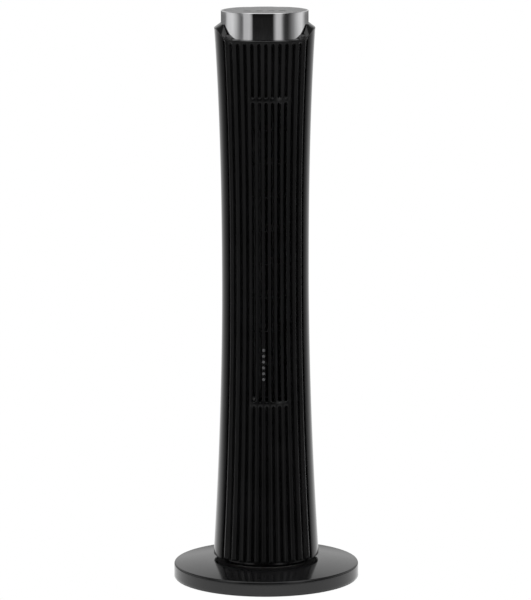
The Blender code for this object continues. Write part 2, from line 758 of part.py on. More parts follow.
def make_cap(body):
    make_cap_ring(body)
    make_top_panel(body)
    make_cap_carrier(body)
    make_control_board(body)
    make_buttons(body)


# Column insides


def make_tower_floor(body):
    """The turning floor: a sleeve round the spindle, and posts for the swing motor and the board."""
    bore = SPINDLE_RADIUS / math.cos(math.pi / SPINDLE_STEPS) + RUNNING_GAP
    profile = [
        (SLEEVE_RADIUS, SLEEVE_TOP),
        (SLEEVE_RADIUS, FLOOR_TOP),
        (FLOOR_RADIUS, FLOOR_TOP),
        (FLOOR_RADIUS, COLUMN_BOTTOM),
        (bore, COLUMN_BOTTOM),
        (bore, SLEEVE_TOP),
    ]
    tower_floor = turned("tower_floor", profile, SPINDLE_STEPS)
    motor_posts = [(-MOTOR_POST_X, GEAR_CENTRES), (MOTOR_POST_X, GEAR_CENTRES)]
    board_posts = [(x, y) for x in BOARD_POSTS_X for y in BOARD_POSTS_Y]
    for name, top, places in (
        ("motor_posts", MOTOR_POST_TOP, motor_posts),
        ("board_posts", BOARD_POST_TOP, board_posts),
    ):
        join(tower_floor, as_tool(cylinders(name, POST_RADIUS, POST_BOTTOM, top, places, 8)))
    return add_part(tower_floor, SATIN_BLACK, body)


def make_swing_motor(body):
    """The slow synchronous motor: a flat can on an ear plate that rests on two posts."""
    centre = (0.0, GEAR_CENTRES)
    motor = cylinders("swing_motor", SWING_MOTOR_RADIUS, SWING_MOTOR_LOW, SWING_MOTOR_HIGH, [centre], 20)
    ears = box("swing_motor_ears", SWING_MOTOR_EARS, (*centre, SWING_MOTOR_EARS_MIDDLE))
    join(motor, as_tool(ears))
    return add_part(motor, STEEL, body)


def make_power_board(body):
    board = box("power_board", (*POWER_BOARD, BOARD_THICKNESS), POWER_BOARD_PLACE)
    add_part(board, BOARD_GREEN, body)
    add_part(box("motor_capacitor", CAPACITOR, CAPACITOR_PLACE), CAPACITOR_BLUE, body)


def duct_plate(name, low, high, hole_radius, body):
    """A plate that closes one end of the air duct, with a hole on the wheel's axis."""
    plate = cylinders(name, DUCT_PLATE_RADIUS, low, high, sides=32)
    hole = cylinders(f"{name}_hole", hole_radius, low - DUCT_PLATE, high + DUCT_PLATE, [(0.0, WHEEL_Y)])
    cut(plate, as_tool(hole))
    return add_part(plate, SATIN_BLACK, body)


def upright_wall(name, route, low, high):
    """A thin wall that stands on a plan route."""
    builder = bmesh.new()
    verts = [builder.verts.new((x, y, low)) for x, y in route]
    edges = [builder.edges.new(pair) for pair in zip(verts, verts[1:])]
    grown = bmesh.ops.extrude_edge_only(builder, edges=edges)
    raised = [item for item in grown["geom"] if isinstance(item, bmesh.types.BMVert)]
    bmesh.ops.translate(builder, verts=raised, vec=(0.0, 0.0, high - low))
    wall = object_from(name, builder)
    modifier = wall.modifiers.new("wall", "SOLIDIFY")
    modifier.thickness = DUCT_WALL
    modifier.offset = 0.0
    return wall


def scroll_route():
    """The scroll opens out as it runs forward along the right side, then meets the outlet."""
    route = []
    for index in range(SCROLL_STEPS + 1):
        share = index / SCROLL_STEPS
        angle = math.radians(SCROLL_START - SCROLL_SWEEP * share)
        radius = SCROLL_RADIUS + SCROLL_GROWTH * share**0.8
        route.append((radius * math.cos(angle), WHEEL_Y + radius * math.sin(angle)))
    return route + list(SCROLL_OUTLET)


def make_air_duct(body):
    """Two plates that close the duct's ends, the scroll, the tongue and the wheel's upper bush."""
    duct_plate("duct_floor", DUCT_LOW - DUCT_PLATE, DUCT_LOW, DUCT_FLOOR_HOLE, body)
    duct_plate("duct_roof", DUCT_HIGH, DUCT_HIGH + DUCT_PLATE, DUCT_ROOF_HOLE, body)
    low, high = DUCT_LOW + FIT_GAP, DUCT_HIGH - FIT_GAP
    for name, route in (("scroll_wall", scroll_route()), ("tongue_wall", TONGUE_ROUTE)):
        add_part(upright_wall(name, route, low, high), SATIN_BLACK, body)
    bush = ring("upper_bush", BUSH_RADIUS, BUSH_BORE, high - DUCT_WALL, high + 2 * DUCT_PLATE, 16)
    bush.location.y = WHEEL_Y
    add_part(bush, WHITE_PLASTIC, body)


def make_motor(body):
    """The main motor and the cage that hangs it under the duct."""
    for name, profile, material in (
        ("main_motor", MOTOR_OUTLINE, STEEL),
        ("motor_cage", CAGE_OUTLINE, SATIN_BLACK),
    ):
        piece = turned(name, profile, 24)
        piece.location.y = WHEEL_Y
        add_part(piece, material, body)


# Cross-flow wheel


def realised(obj):
    """The mesh that the object's modifiers make."""
    graph = bpy.context.evaluated_depsgraph_get()
    return bpy.data.meshes.new_from_object(obj.evaluated_get(graph))


def wheel_segment_mesh():
    """One moulded segment, standing on z = 0: a disc with upright blades round its rim."""
    disc = cylinders("wheel_segment", WHEEL_RADIUS, 0.0, WHEEL_DISC)
    blades = bmesh.new()
    top = WHEEL_PITCH - FIT_GAP
    low = WHEEL_DISC / 2
    size = (WHEEL_RADIUS - WHEEL_INNER_RADIUS, BLADE_THICKNESS, top - low)
    for x, y in circle_points(BLADES, (WHEEL_RADIUS + WHEEL_INNER_RADIUS) / 2 - BLADE_SETBACK):
        add_box(blades, size, (x, y, (top + low) / 2), math.atan2(y, x) + BLADE_STAGGER)
    join(as_tool(disc), as_tool(object_from("wheel_blades", blades)))
    mesh = realised(disc)
    mesh.shade_smooth()
    mesh.set_sharp_from_angle(angle=math.radians(35))
    return mesh


def make_wheel(body):
    """Nine stacked segments, an end disc, and the shafts that carry them."""
    mesh = wheel_segment_mesh()
    mesh.materials.append(SATIN_BLACK)
    for index in range(WHEEL_SEGMENTS):
        segment = bpy.data.objects.new(f"wheel_segment_{index + 1}", mesh)
        segment.location.z = WINDOW_LOW + index * WHEEL_PITCH
        segment.parent = body
        PARTS.objects.link(segment)
    hub = ring("wheel_hub", HUB_RADIUS, SHAFT_RADIUS + FIT_GAP, HUB_LOW, WINDOW_LOW - FIT_GAP, 16)
    add_part(hub, RUBBER, body)
    add_part(cylinders("motor_shaft", SHAFT_RADIUS, SHAFT_LOW, SHAFT_HIGH, sides=16), STEEL, body)
    disc_top = WINDOW_HIGH + WHEEL_END_DISC
    add_part(cylinders("wheel_end_disc", WHEEL_RADIUS, WINDOW_HIGH, disc_top), SATIN_BLACK, body)
    stub = cylinders("wheel_top_shaft", TOP_SHAFT_RADIUS, disc_top + FIT_GAP, TOP_SHAFT_HIGH, sides=16)
    add_part(stub, STEEL, body)


# Swing drive


def make_swing_pinion(body):
    """The motor's pinion, in mesh with the fixed sector: a space faces the sector's middle tooth."""
    radius = GEAR_MODULE * PINION_TEETH / 2
    half_pitch = TURN / (2 * PINION_TEETH)
    tip, root = radius + PINION_ADDENDUM, radius - PINION_DEDENDUM
    outline = gear_outline(PINION_TEETH, half_pitch, PINION_TEETH, tip, root)
    pinion = extruded("swing_pinion", outline, GEAR_LOW, GEAR_HIGH)
    shaft = cylinders("pinion_shaft", PINION_SHAFT_RADIUS, GEAR_LOW + FIT_GAP, PINION_SHAFT_TOP, sides=12)
    shaft.parent = pinion
    join(pinion, as_tool(shaft))
    return add_part(pinion, WHITE_PLASTIC, body)


# The fan


def make_tower(body):
    make_rear_shell(body)
    make_rear_grille(body)
    make_front_grille(body)
    make_indicator_lenses(body)
    make_shell_screws(body)
    make_cap(body)
    make_tower_floor(body)
    make_swing_motor(body)
    make_power_board(body)
    make_air_duct(body)
    make_motor(body)


def make_tower_fan():
    base = body_empty("base_body", (0.0, 0.0, 0.0))
    tower = body_empty("tower_body", (0.0, 0.0, 0.0))
    wheel = body_empty("wheel_body", (0.0, WHEEL_Y, 0.0))
    pinion = body_empty("pinion_body", (0.0, GEAR_CENTRES, 0.0))
    tower.parent = base
    wheel.parent = tower
    pinion.parent = tower
    make_base(base)
    make_tower(tower)
    make_wheel(wheel)
    make_swing_pinion(pinion)


make_tower_fan()
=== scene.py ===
"""Tower fan: the visual model and its studio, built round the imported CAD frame.

Metres, +Z up. The origin is the middle of the base's underside, the outlet faces -Y, and
+X is on the right of a person who stands in front of the fan. Angles round the column are
measured from the front, positive towards +X.
"""

import json
import math

import bmesh
import bpy
from mathutils import Matrix, Vector


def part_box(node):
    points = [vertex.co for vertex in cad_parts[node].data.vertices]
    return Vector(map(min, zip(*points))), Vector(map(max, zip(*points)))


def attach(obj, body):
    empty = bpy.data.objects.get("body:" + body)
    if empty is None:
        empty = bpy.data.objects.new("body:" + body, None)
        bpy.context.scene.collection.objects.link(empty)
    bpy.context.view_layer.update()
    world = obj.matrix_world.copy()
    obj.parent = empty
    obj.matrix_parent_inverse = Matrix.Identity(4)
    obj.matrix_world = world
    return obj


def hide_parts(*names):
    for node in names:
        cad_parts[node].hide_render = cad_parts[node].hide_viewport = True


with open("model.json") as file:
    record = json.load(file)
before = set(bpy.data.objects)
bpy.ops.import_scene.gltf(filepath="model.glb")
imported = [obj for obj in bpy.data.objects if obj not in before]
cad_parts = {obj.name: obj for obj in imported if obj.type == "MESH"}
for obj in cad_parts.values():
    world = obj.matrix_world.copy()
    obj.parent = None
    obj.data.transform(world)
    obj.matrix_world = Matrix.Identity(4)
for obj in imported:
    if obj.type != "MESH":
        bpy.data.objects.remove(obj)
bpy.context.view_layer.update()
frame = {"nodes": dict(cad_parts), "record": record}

SLOTS = {part["node"]: part["material_slot"] for part in frame["record"]["subparts"]}
SCENE = bpy.context.scene
TURN = 2 * math.pi
MERGE_DISTANCE = 0.000002

# Column: how its radius runs from the foot, through the waist, to the shoulder
COLUMN_BOTTOM = 0.042
WAIST_HEIGHT = 0.535
WAIST_RADIUS = 0.0759
SHOULDER_HEIGHT = 0.9702
SHOULDER_FLARE = 0.0115
SHOULDER_POWER = 2.4
FOOT_FLARE = 0.0168
FOOT_POWER = 1.85
SHOULDER_LIP = (0.0777, 0.9776)  # inner edge of the bevelled shoulder (radius, height)
SHELL_WALL = 0.0025

# Front panel
PANEL_EDGE = math.radians(57.4)  # half of the angle that the panel covers
PANEL_RIM = 0.9535  # height of its top, away from the corners
PANEL_RIM_RADIUS = 0.0764
PANEL_THICKNESS = 0.0052
PANEL_BACK = 0.962  # width of its back, as a fraction of its front's
GROOVE_PITCH = 0.140  # across the column, as a fraction of its radius
GROOVE_HALF_WIDTH = 0.0375  # also as a fraction of the radius
GROOVE_DEPTH = 0.0046
SLOT_WALL = 0.0009  # width of the steep side of an open slot; a closed groove is a V
RIB_CROWN = 0.0005  # how far a crest stands above its rib's sides, in the middle of the panel
GROOVE_STEPS = range(-6, 7)
GROOVE_TOP = 0.9490
RIM_DROPS = (0.0043, 0.0033, 0.0024)  # the plain rows between the grooves and the rim, from the rim down
RIM_ROUND = 0.0022  # radius of the rim's edge
WINDOW_LOW, WINDOW_HIGH = 0.3260, 0.8475  # the open slots
BRIDGE = 0.0070  # solid bar across the grooves above and below the window
OPEN_STEPS = (-2, -1, 0, 1, 2, 3)
RIB_TIP = 0.0060  # height over which the ribs round in at the foot
LIFT_FOOT = 0.935  # the panel's corners rise above here

# Rear casing and its intake
SHELL_EDGE = math.radians(58.0)  # the casing runs from here round the back to the other side
# At the front corners the column's top edge drops in an S, from the shoulder to the front panel's
# rim: (angle where it is lowest, angle where it is highest, low, high) of its outer and inner line
CREASE = (math.radians(45.0), math.radians(80.0), PANEL_RIM - 0.0022, SHOULDER_HEIGHT)
LIP = (math.radians(49.0), math.radians(72.0), PANEL_RIM, SHOULDER_LIP[1])
INTAKE_LOW, INTAKE_HIGH = 0.300, 0.880
INTAKE_HALF_ANGLE = math.radians(38.3)
INTAKE_CORNER = 0.012


# Small helpers


def finished_mesh(name, builder, material, sharp=40.0):
    mesh = bpy.data.meshes.new(name)
    builder.to_mesh(mesh)
    builder.free()
    mesh.shade_smooth()
    mesh.set_sharp_from_angle(angle=math.radians(sharp))
    mesh.materials.append(material)
    return mesh


def place_piece(name, mesh, body, node=None, place=Matrix()):
    """Makes a piece that rides on a body. If it stands for a CAD node, that node is hidden."""
    piece = bpy.data.objects.new(name, mesh)
    piece.matrix_world = place
    SCENE.collection.objects.link(piece)
    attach(piece, body)
    if node:
        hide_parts(node)


def merged(builder):
    bmesh.ops.remove_doubles(builder, verts=builder.verts, dist=MERGE_DISTANCE)
    bmesh.ops.dissolve_degenerate(builder, edges=builder.edges, dist=MERGE_DISTANCE)
    builder.normal_update()
    return builder


def grid_faces(builder, rows, keep=None, flip=False):
    """Faces between rows of vertices. keep(row, column) says which cells are filled."""
    for row, (low, high) in enumerate(zip(rows, rows[1:])):
        for column in range(len(low) - 1):
            if keep and not keep(row, column):
                continue
            corners = [low[column], low[column + 1], high[column + 1], high[column]]
            if flip:
                corners.reverse()
            corners = [vert for index, vert in enumerate(corners) if vert not in corners[:index]]
            if len(corners) > 2 and not builder.faces.get(corners):
                builder.faces.new(corners)


def steps_between(low, high, count):
    return [low + (high - low) * index / count for index in range(count + 1)]


def quarter_turn(count):
    return steps_between(0.0, TURN / 4, count)


def arc(centre, radius, first, last, count):
    """Points of an arc, with its angles in degrees."""
    points = []
    for angle in steps_between(math.radians(first), math.radians(last), count):
        points.append((centre[0] + radius * math.cos(angle), centre[1] + radius * math.sin(angle)))
    return points


def revolve(profile, segments=128, closed=True):
    """Turns (radius, height) points, listed down the outer side, about the Z axis."""
    builder = bmesh.new()
    rings = []
    for index in range(segments):
        angle = TURN * index / segments
        ring = [builder.verts.new((r * math.cos(angle), r * math.sin(angle), z)) for r, z in profile]
        rings.append(ring + ring[:1] if closed else ring)
    rings.append(rings[0])
    grid_faces(builder, rings)
    return merged(builder)


def moved(builder, matrix):
    bmesh.ops.transform(builder, matrix=matrix, verts=builder.verts)
    return builder


def add_rod(builder, radius, low, high, centre=(0.0, 0.0), sides=48):
    place = Matrix.Translation((*centre, (low + high) / 2))
    bmesh.ops.create_cone(builder, cap_ends=True, segments=sides, radius1=radius, radius2=radius,
                          depth=high - low, matrix=place)


def add_prism(builder, outline, low, high):
    """A flat outline, drawn anticlockwise, stretched from low to high."""
    bottom = [builder.verts.new((x, y, low)) for x, y in outline]
    top = [builder.verts.new((x, y, high)) for x, y in outline]
    builder.faces.new(reversed(bottom))
    builder.faces.new(top)
    grid_faces(builder, [ring + ring[:1] for ring in (bottom, top)])


def carved(builder, tool, operation="DIFFERENCE"):
    """The builder's solid less the tool's, or joined with it."""
    items = []
    for source in (builder, tool):
        mesh = bpy.data.meshes.new("work")
        source.to_mesh(mesh)
        source.free()
        items.append(bpy.data.objects.new("work", mesh))
        SCENE.collection.objects.link(items[-1])
    modifier = items[0].modifiers.new("carve", "BOOLEAN")
    modifier.solver = "EXACT"
    modifier.operation = operation
    modifier.object = items[1]
    result = bmesh.new()
    result.from_object(items[0], bpy.context.evaluated_depsgraph_get())
    for item in items:
        bpy.data.meshes.remove(item.data)
    return merged(result)


def smooth_step(value):
    value = min(1.0, max(0.0, value))
    return value * value * (3.0 - 2.0 * value)


def edge_height(line, angle):
    """Height of the column's top edge on CREASE or LIP, at an angle from the front."""
    start, end, low, high = line
    return low + (high - low) * smooth_step((abs(angle) - start) / (end - start))


def column_radius(height):
    if height >= WAIST_HEIGHT:
        share = (height - WAIST_HEIGHT) / (SHOULDER_HEIGHT - WAIST_HEIGHT)
        return WAIST_RADIUS + SHOULDER_FLARE * share**SHOULDER_POWER
    share = (WAIST_HEIGHT - height) / (WAIST_HEIGHT - COLUMN_BOTTOM)
    return WAIST_RADIUS + FOOT_FLARE * share**FOOT_POWER


def on_column(angle, radius, height):
    return Vector((radius * math.sin(angle), -radius * math.cos(angle), height))


# Materials


def add_ramp(tree, source, stops):
    """A colour ramp through (place, grey or colour) stops."""
    node = tree.nodes.new("ShaderNodeValToRGB")
    elements = node.color_ramp.elements
    while len(elements) < len(stops):
        elements.new(0.5)
    for element, (place, value) in zip(elements, stops):
        element.position = place
        element.color = (*value, 1.0) if isinstance(value, tuple) else (value, value, value, 1.0)
    tree.links.new(source, node.inputs["Fac"])
    return node.outputs["Color"]


class Look:
    """A procedural Principled material. Its methods vary it by noise, in the object's own metres."""

    def __init__(self, name, colour, roughness, metallic=0.0, **sockets):
        self.material = bpy.data.materials.new(name)
        self.material.use_nodes = True
        self.tree = self.material.node_tree
        self.shader = self.tree.nodes["Principled BSDF"]
        self.shader.inputs["Base Color"].default_value = (*colour, 1.0)
        self.shader.inputs["Roughness"].default_value = roughness
        self.shader.inputs["Metallic"].default_value = metallic
        for socket, value in sockets.items():
            self.shader.inputs[socket.replace("_", " ")].default_value = value
        self.colour = colour
        self.roughness = roughness
        self.place = self.tree.nodes.new("ShaderNodeTexCoord")

    def link(self, output, target):
        self.tree.links.new(output, target)

    def noise(self, scale, detail=3.0, stretch=(1.0, 1.0, 1.0)):
        mapping = self.tree.nodes.new("ShaderNodeMapping")
        mapping.inputs["Scale"].default_value = stretch
        self.link(self.place.outputs["Object"], mapping.inputs["Vector"])
        texture = self.tree.nodes.new("ShaderNodeTexNoise")
        texture.inputs["Scale"].default_value = scale
        texture.inputs["Detail"].default_value = detail
        self.link(mapping.outputs["Vector"], texture.inputs["Vector"])
        return texture.outputs["Fac"]

    def shade(self, change, *noise):
        """Varies the colour by this share, lighter and darker."""
        low = tuple(part * (1.0 - change) for part in self.colour)
        high = tuple(part * (1.0 + change) for part in self.colour)
        colour = add_ramp(self.tree, self.noise(*noise), [(0.35, low), (0.65, high)])
        self.link(colour, self.shader.inputs["Base Color"])
        return self

    def sheen(self, change, *noise):
        """Varies the roughness by this much."""
        stops = [(0.35, max(0.0, self.roughness - change)), (0.70, self.roughness + change)]
        self.link(add_ramp(self.tree, self.noise(*noise), stops), self.shader.inputs["Roughness"])
        return self

    def bump(self, height, *noise):
        """Adds relief of about this height in metres."""
        node = self.tree.nodes.new("ShaderNodeBump")
        node.inputs["Strength"].default_value = 1.0
        node.inputs["Distance"].default_value = height
        self.link(self.noise(*noise), node.inputs["Height"])
        self.link(node.outputs["Normal"], self.shader.inputs["Normal"])
        return self


def circuit_board():
    """Green solder mask, with copper runs showing through it as a lighter net."""
    mask, copper = (0.010, 0.110, 0.045), (0.030, 0.230, 0.085)
    look = Look("circuit_board", mask, 0.35)
    cells = look.tree.nodes.new("ShaderNodeTexVoronoi")
    cells.distance = "CHEBYCHEV"
    cells.feature = "DISTANCE_TO_EDGE"
    cells.inputs["Scale"].default_value = 160.0
    look.link(look.place.outputs["Object"], cells.inputs["Vector"])
    colour = add_ramp(look.tree, cells.outputs["Distance"], [(0.02, copper), (0.05, mask)])
    look.link(colour, look.shader.inputs["Base Color"])
    return look.bump(0.000010, 900.0)


LOOKS = {
    # Piano-black moulding: nearly a mirror, with faint flow waves and hairline scratches
    "gloss_black": Look("gloss_black", (0.0026, 0.0026, 0.0028), 0.07, IOR=1.5)
    .shade(0.25, 9.0).sheen(0.025, 900.0, 2.0, (1.0, 1.0, 0.03)).bump(0.000012, 55.0, 1.0),
    # The ribbed front, a little softer than the casing
    "panel_black": Look("panel_black", (0.0026, 0.0026, 0.0028), 0.16, IOR=1.5)
    .shade(0.25, 14.0).sheen(0.03, 700.0, 2.0, (1.0, 1.0, 0.05)).bump(0.000004, 2600.0, 2.0),
    "satin_black": Look("satin_black", (0.010, 0.010, 0.0105), 0.42, IOR=1.48)
    .shade(0.20, 20.0).sheen(0.06, 160.0).bump(0.000018, 2200.0, 4.0),
    # Glass-filled moulding of the wheel, greyer than the casing
    "wheel_grey": Look("wheel_grey", (0.030, 0.030, 0.031), 0.38, IOR=1.5)
    .shade(0.20, 45.0).sheen(0.08, 220.0).bump(0.000020, 1500.0, 4.0),
    # The base's lacquered cover
    "charcoal": Look("base_charcoal", (0.0065, 0.0065, 0.0068), 0.13, IOR=1.5)
    .shade(0.20, 6.0).sheen(0.03, 420.0, 3.0).bump(0.000010, 70.0, 2.0),
    "chrome": Look("chrome", (0.86, 0.86, 0.87), 0.045, 1.0)
    .shade(0.02, 30.0).sheen(0.015, 1200.0, 2.0, (1.0, 1.0, 0.04)),
    "panel_grey": Look("panel_grey", (0.100, 0.100, 0.102), 0.34)
    .shade(0.05, 26.0).sheen(0.05, 300.0).bump(0.000008, 3200.0, 3.0),
    "lens_grey": Look("lens_grey", (0.060, 0.060, 0.062), 0.12, IOR=1.49)
    .shade(0.10, 300.0).sheen(0.03, 900.0),
    "legend_grey": Look("legend_grey", (0.45, 0.45, 0.46), 0.5).shade(0.08, 900.0),
    "steel": Look("zinc_steel", (0.55, 0.55, 0.56), 0.30, 1.0)
    .shade(0.12, 120.0, 5.0).sheen(0.08, 500.0, 4.0, (1.0, 1.0, 0.2)).bump(0.000006, 1800.0, 3.0),
    "cast_iron": Look("cast_iron", (0.10, 0.10, 0.10), 0.62, 1.0)
    .shade(0.30, 90.0, 6.0).sheen(0.12, 240.0, 4.0).bump(0.000180, 500.0, 6.0),
    "rubber": Look("rubber", (0.016, 0.016, 0.016), 0.78).shade(0.25, 150.0).bump(0.000040, 1600.0, 4.0),
    "white_plastic": Look("white_plastic", (0.72, 0.72, 0.69), 0.40, Subsurface_Weight=0.05)
    .shade(0.03, 60.0).sheen(0.05, 240.0).bump(0.000010, 1200.0),
    "circuit_board": circuit_board(),
    "capacitor_case": Look("capacitor_blue", (0.060, 0.110, 0.290), 0.35)
    .shade(0.10, 80.0).sheen(0.05, 300.0).bump(0.000020, 1400.0),
}
MATERIALS = {slot: look.material for slot, look in LOOKS.items()}


def new_piece(name, builder, look, body, node=None, sharp=40.0, place=Matrix()):
    place_piece(name, finished_mesh(name, builder, MATERIALS[look], sharp), body, node, place)


# The CAD nodes whose shape is already right keep it, and take the material of their slot
for node, slot in SLOTS.items():
    mesh = frame["nodes"][node].data
    mesh.materials.clear()
    mesh.materials.append(MATERIALS[slot])


# Front panel: a ribbed skin whose grid follows each groove's outline


def groove_segments(step):
    """(low, high, open) of the stretches of one groove. The lowest runs out of the foot."""
    if step not in OPEN_STEPS:
        return [(-1.0, GROOVE_TOP, False)]
    window = (WINDOW_LOW, WINDOW_HIGH, True)
    return [(-1.0, WINDOW_LOW - BRIDGE, False), window, (WINDOW_HIGH + BRIDGE, GROOVE_TOP, False)]


def half_width_at(inset, beyond, radius):
    """Half of the groove's width, at an inset from its outline, where its end rounds in."""
    reach = GROOVE_HALF_WIDTH * radius - inset
    return math.sqrt(max(0.0, reach * reach - beyond * beyond))


def panel_row_heights():
    """Heights of the skin's rows: even along the ribs, closer at the groove ends and the foot."""
    heights = set(steps_between(0.050, 0.945, 46))
    for angle in quarter_turn(8):
        heights.add(COLUMN_BOTTOM + RIB_TIP * (1.0 - math.cos(angle)))
    turning = [math.sin(angle) for angle in quarter_turn(10)]
    ends = [(GROOVE_TOP, -1), (WINDOW_LOW - BRIDGE, -1), (WINDOW_LOW, 1), (WINDOW_HIGH, -1)]
    ends.append((WINDOW_HIGH + BRIDGE, 1))
    for end, inward in ends:
        half = GROOVE_HALF_WIDTH * column_radius(end)
        for share in turning:
            heights.add(end + inward * half * (1.0 - share))
        for share in (0.25, 0.5, 0.75, 1.0):
            heights.add(end + inward * share * SLOT_WALL)
    heights = sorted(heights)
    kept = [heights[0]]
    for height in heights[1:]:
        if height - kept[-1] > 0.00010:
            kept.append(height)
    return kept


WALL_SHARES = [index / 6 for index in range(7)]
RIB_SHARES = [index / 10 for index in range(1, 10)]


def groove_state(step, height, radius, grooved):
    """(how far its end has rounded in, its side's width, its crown, whether it is open) at a height."""
    half = GROOVE_HALF_WIDTH * radius
    beyond, opening = half, False
    for low, high, through in groove_segments(step) if grooved else ():
        if low <= height <= high:
            beyond = min(max(low + half - height, height - (high - half), 0.0), half)
            opening = through
    crown = RIB_CROWN * (1.0 - (step / GROOVE_STEPS[-1]) ** 2)  # the outer ribs are flatter
    crown *= half_width_at(0.0, beyond, radius) / half
    return beyond, SLOT_WALL if opening else half, crown, opening


def panel_row(height, radius, grooved):
    """(across, depth) of a row's points, where across runs from -1 to 1 on the radius."""
    half = GROOVE_HALF_WIDTH * radius
    states = [groove_state(step, height, radius, grooved) for step in GROOVE_STEPS]
    points = []
    for index, (step, (beyond, wall, crown, _)) in enumerate(zip(GROOVE_STEPS, states)):
        middle = step * GROOVE_PITCH
        for side in (-1, 1):
            if side < 0 and index == 0 or side > 0 and index == len(states) - 1:
                continue
            for share in WALL_SHARES if side < 0 else reversed(WALL_SHARES):
                reach = half_width_at(share * wall, beyond, radius)
                inset = half - math.hypot(reach, beyond)
                depth = crown + (GROOVE_DEPTH - crown) * inset / wall
                points.append((middle + side * reach / radius, depth))
        if index == len(states) - 1:
            continue
        next_beyond, _, next_crown, _ = states[index + 1]
        start = middle + half_width_at(0.0, beyond, radius) / radius
        end = middle + GROOVE_PITCH - half_width_at(0.0, next_beyond, radius) / radius
        for share in RIB_SHARES:
            lean = 2.0 * share - 1.0
            side_crown = next_crown if lean > 0 else crown
            points.append((start + (end - start) * share, side_crown * lean * lean))
    edge = math.sin(PANEL_EDGE)
    return [(-edge, points[0][1])] + points + [(edge, points[-1][1])]


def open_columns(height, radius, grooved):
    """Columns of a row whose cells lie in the open floor of a slot."""
    block = 2 * len(WALL_SHARES) + len(RIB_SHARES)
    columns = set()
    for index, step in enumerate(GROOVE_STEPS):
        beyond, wall, _, opening = groove_state(step, height, radius, grooved)
        if opening and beyond <= GROOVE_HALF_WIDTH * radius - wall:
            columns.add(index * block)
    return columns


def foot_pull(height):
    """How far the ribs' tips round in towards the panel's floor."""
    above = height - COLUMN_BOTTOM
    if above >= RIB_TIP:
        return 0.0
    return GROOVE_DEPTH * (1.0 - math.sqrt(1.0 - (1.0 - above / RIB_TIP) ** 2))


def panel_point(across, depth, height, radius):
    x = across * radius
    return Vector((x, depth - math.sqrt(radius * radius - x * x), height))


def inner_across(across):
    """Draws the back of the panel in near its sides, so that its edges are radial."""
    edge = math.sin(PANEL_EDGE)
    start = 5 * GROOVE_PITCH
    if abs(across) <= start:
        return across
    share = (abs(across) - start) / (edge - start)
    return math.copysign(start + (edge * PANEL_BACK - start) * share, across)


def panel_rows():
    """(height, radius, grooved) of the skin's rows, ending on the inner edge of the rim."""
    rows = [(height, column_radius(height), True) for height in panel_row_heights()]
    rows += [(PANEL_RIM - drop, column_radius(PANEL_RIM - drop), False) for drop in RIM_DROPS]
    corner = (column_radius(PANEL_RIM) - RIM_ROUND, PANEL_RIM - RIM_ROUND)
    for radius, height in arc(corner, RIM_ROUND, 10, 90, 6):
        rows.append((height, radius, False))
    for radius in steps_between(corner[0], PANEL_RIM_RADIUS, 3)[1:]:
        rows.append((PANEL_RIM, radius, False))
    return rows


def corner_lift(across, height, radius):
    """How far a point near the panel's rim is raised, towards the casing's shoulder."""
    angle = math.asin(min(1.0, abs(across)))
    outer = edge_height(CREASE, angle) - CREASE[2]
    if height < PANEL_RIM:
        return outer * smooth_step((height - LIFT_FOOT) / (PANEL_RIM - RIM_DROPS[0] - LIFT_FOOT))
    inner = edge_height(LIP, angle) - LIP[2]
    corner = column_radius(PANEL_RIM)
    return outer + (inner - outer) * (corner - radius) / (corner - PANEL_RIM_RADIUS)


def make_front_panel():
    builder = bmesh.new()
    front, back, open_cells = [], [], []
    for height, radius, grooved in panel_rows():
        pull = foot_pull(height)
        row = panel_row(height, radius, grooved)
        inner_radius = max(radius, PANEL_RIM_RADIUS + 0.0002)
        inner_height = min(height, PANEL_RIM - RIM_DROPS[-1])
        outer_points, inner_points = [], []
        for across, depth in row:
            lift = corner_lift(across, height, radius)
            outer_points.append(panel_point(across, max(depth, pull), height + lift, radius))
            inner_points.append(
                panel_point(inner_across(across), PANEL_THICKNESS, inner_height + lift, inner_radius))
        front.append([builder.verts.new(point) for point in outer_points])
        back.append([builder.verts.new(point) for point in inner_points])
        open_cells.append(open_columns(height, radius, grooved))

    def is_solid(row, column):
        return column not in open_cells[row] or column not in open_cells[row + 1]

    grid_faces(builder, front, is_solid)
    grid_faces(builder, back, is_solid, flip=True)
    close_edges(builder, dict(zip(sum(front, []), sum(back, []))))
    return merged(builder)


def close_edges(builder, twin):
    """Joins each open edge of the front to the same edge of the back."""
    for edge in [edge for edge in builder.edges if edge.is_boundary]:
        loop = edge.link_loops[0]
        first, second = loop.vert, loop.link_loop_next.vert
        if first in twin and second in twin:
            builder.faces.new([second, first, twin[first], twin[second]])


new_piece("front_panel", make_front_panel(), "panel_black", "tower", "front_grille", 50.0)


# Rear casing


def shell_profile(angle):
    """Points of the casing's outer line at an angle, from the foot up to its lip."""
    crease = edge_height(CREASE, angle)
    heights = {COLUMN_BOTTOM + 0.0006}
    heights.update(steps_between(0.046, 0.940, 48))
    for low, inward in ((INTAKE_LOW, 1), (INTAKE_HIGH, -1)):
        for turn in quarter_turn(6):
            heights.add(low + inward * INTAKE_CORNER * (1.0 - math.sin(turn)))
    heights = sorted(heights) + steps_between(0.940, crease - 0.0012, 12)[1:]
    points = [(column_radius(COLUMN_BOTTOM) - 0.0006, COLUMN_BOTTOM)]
    points += [(column_radius(height), height) for height in heights]
    before = points[-1]
    shoulder = (column_radius(crease), crease)
    lip = (SHOULDER_LIP[0], edge_height(LIP, angle))
    after = tuple(start + (end - start) * 0.12 for start, end in zip(shoulder, lip))
    for share in (0.2, 0.4, 0.6, 0.8):
        weights = (1.0 - share) ** 2, 2.0 * share * (1.0 - share), share**2
        corners = zip(before, shoulder, after)
        points.append(tuple(sum(w * part for w, part in zip(weights, parts)) for parts in corners))
    for share in steps_between(0.0, 1.0, 10):
        points.append(tuple(start + (end - start) * share for start, end in zip(after, lip)))
    return points


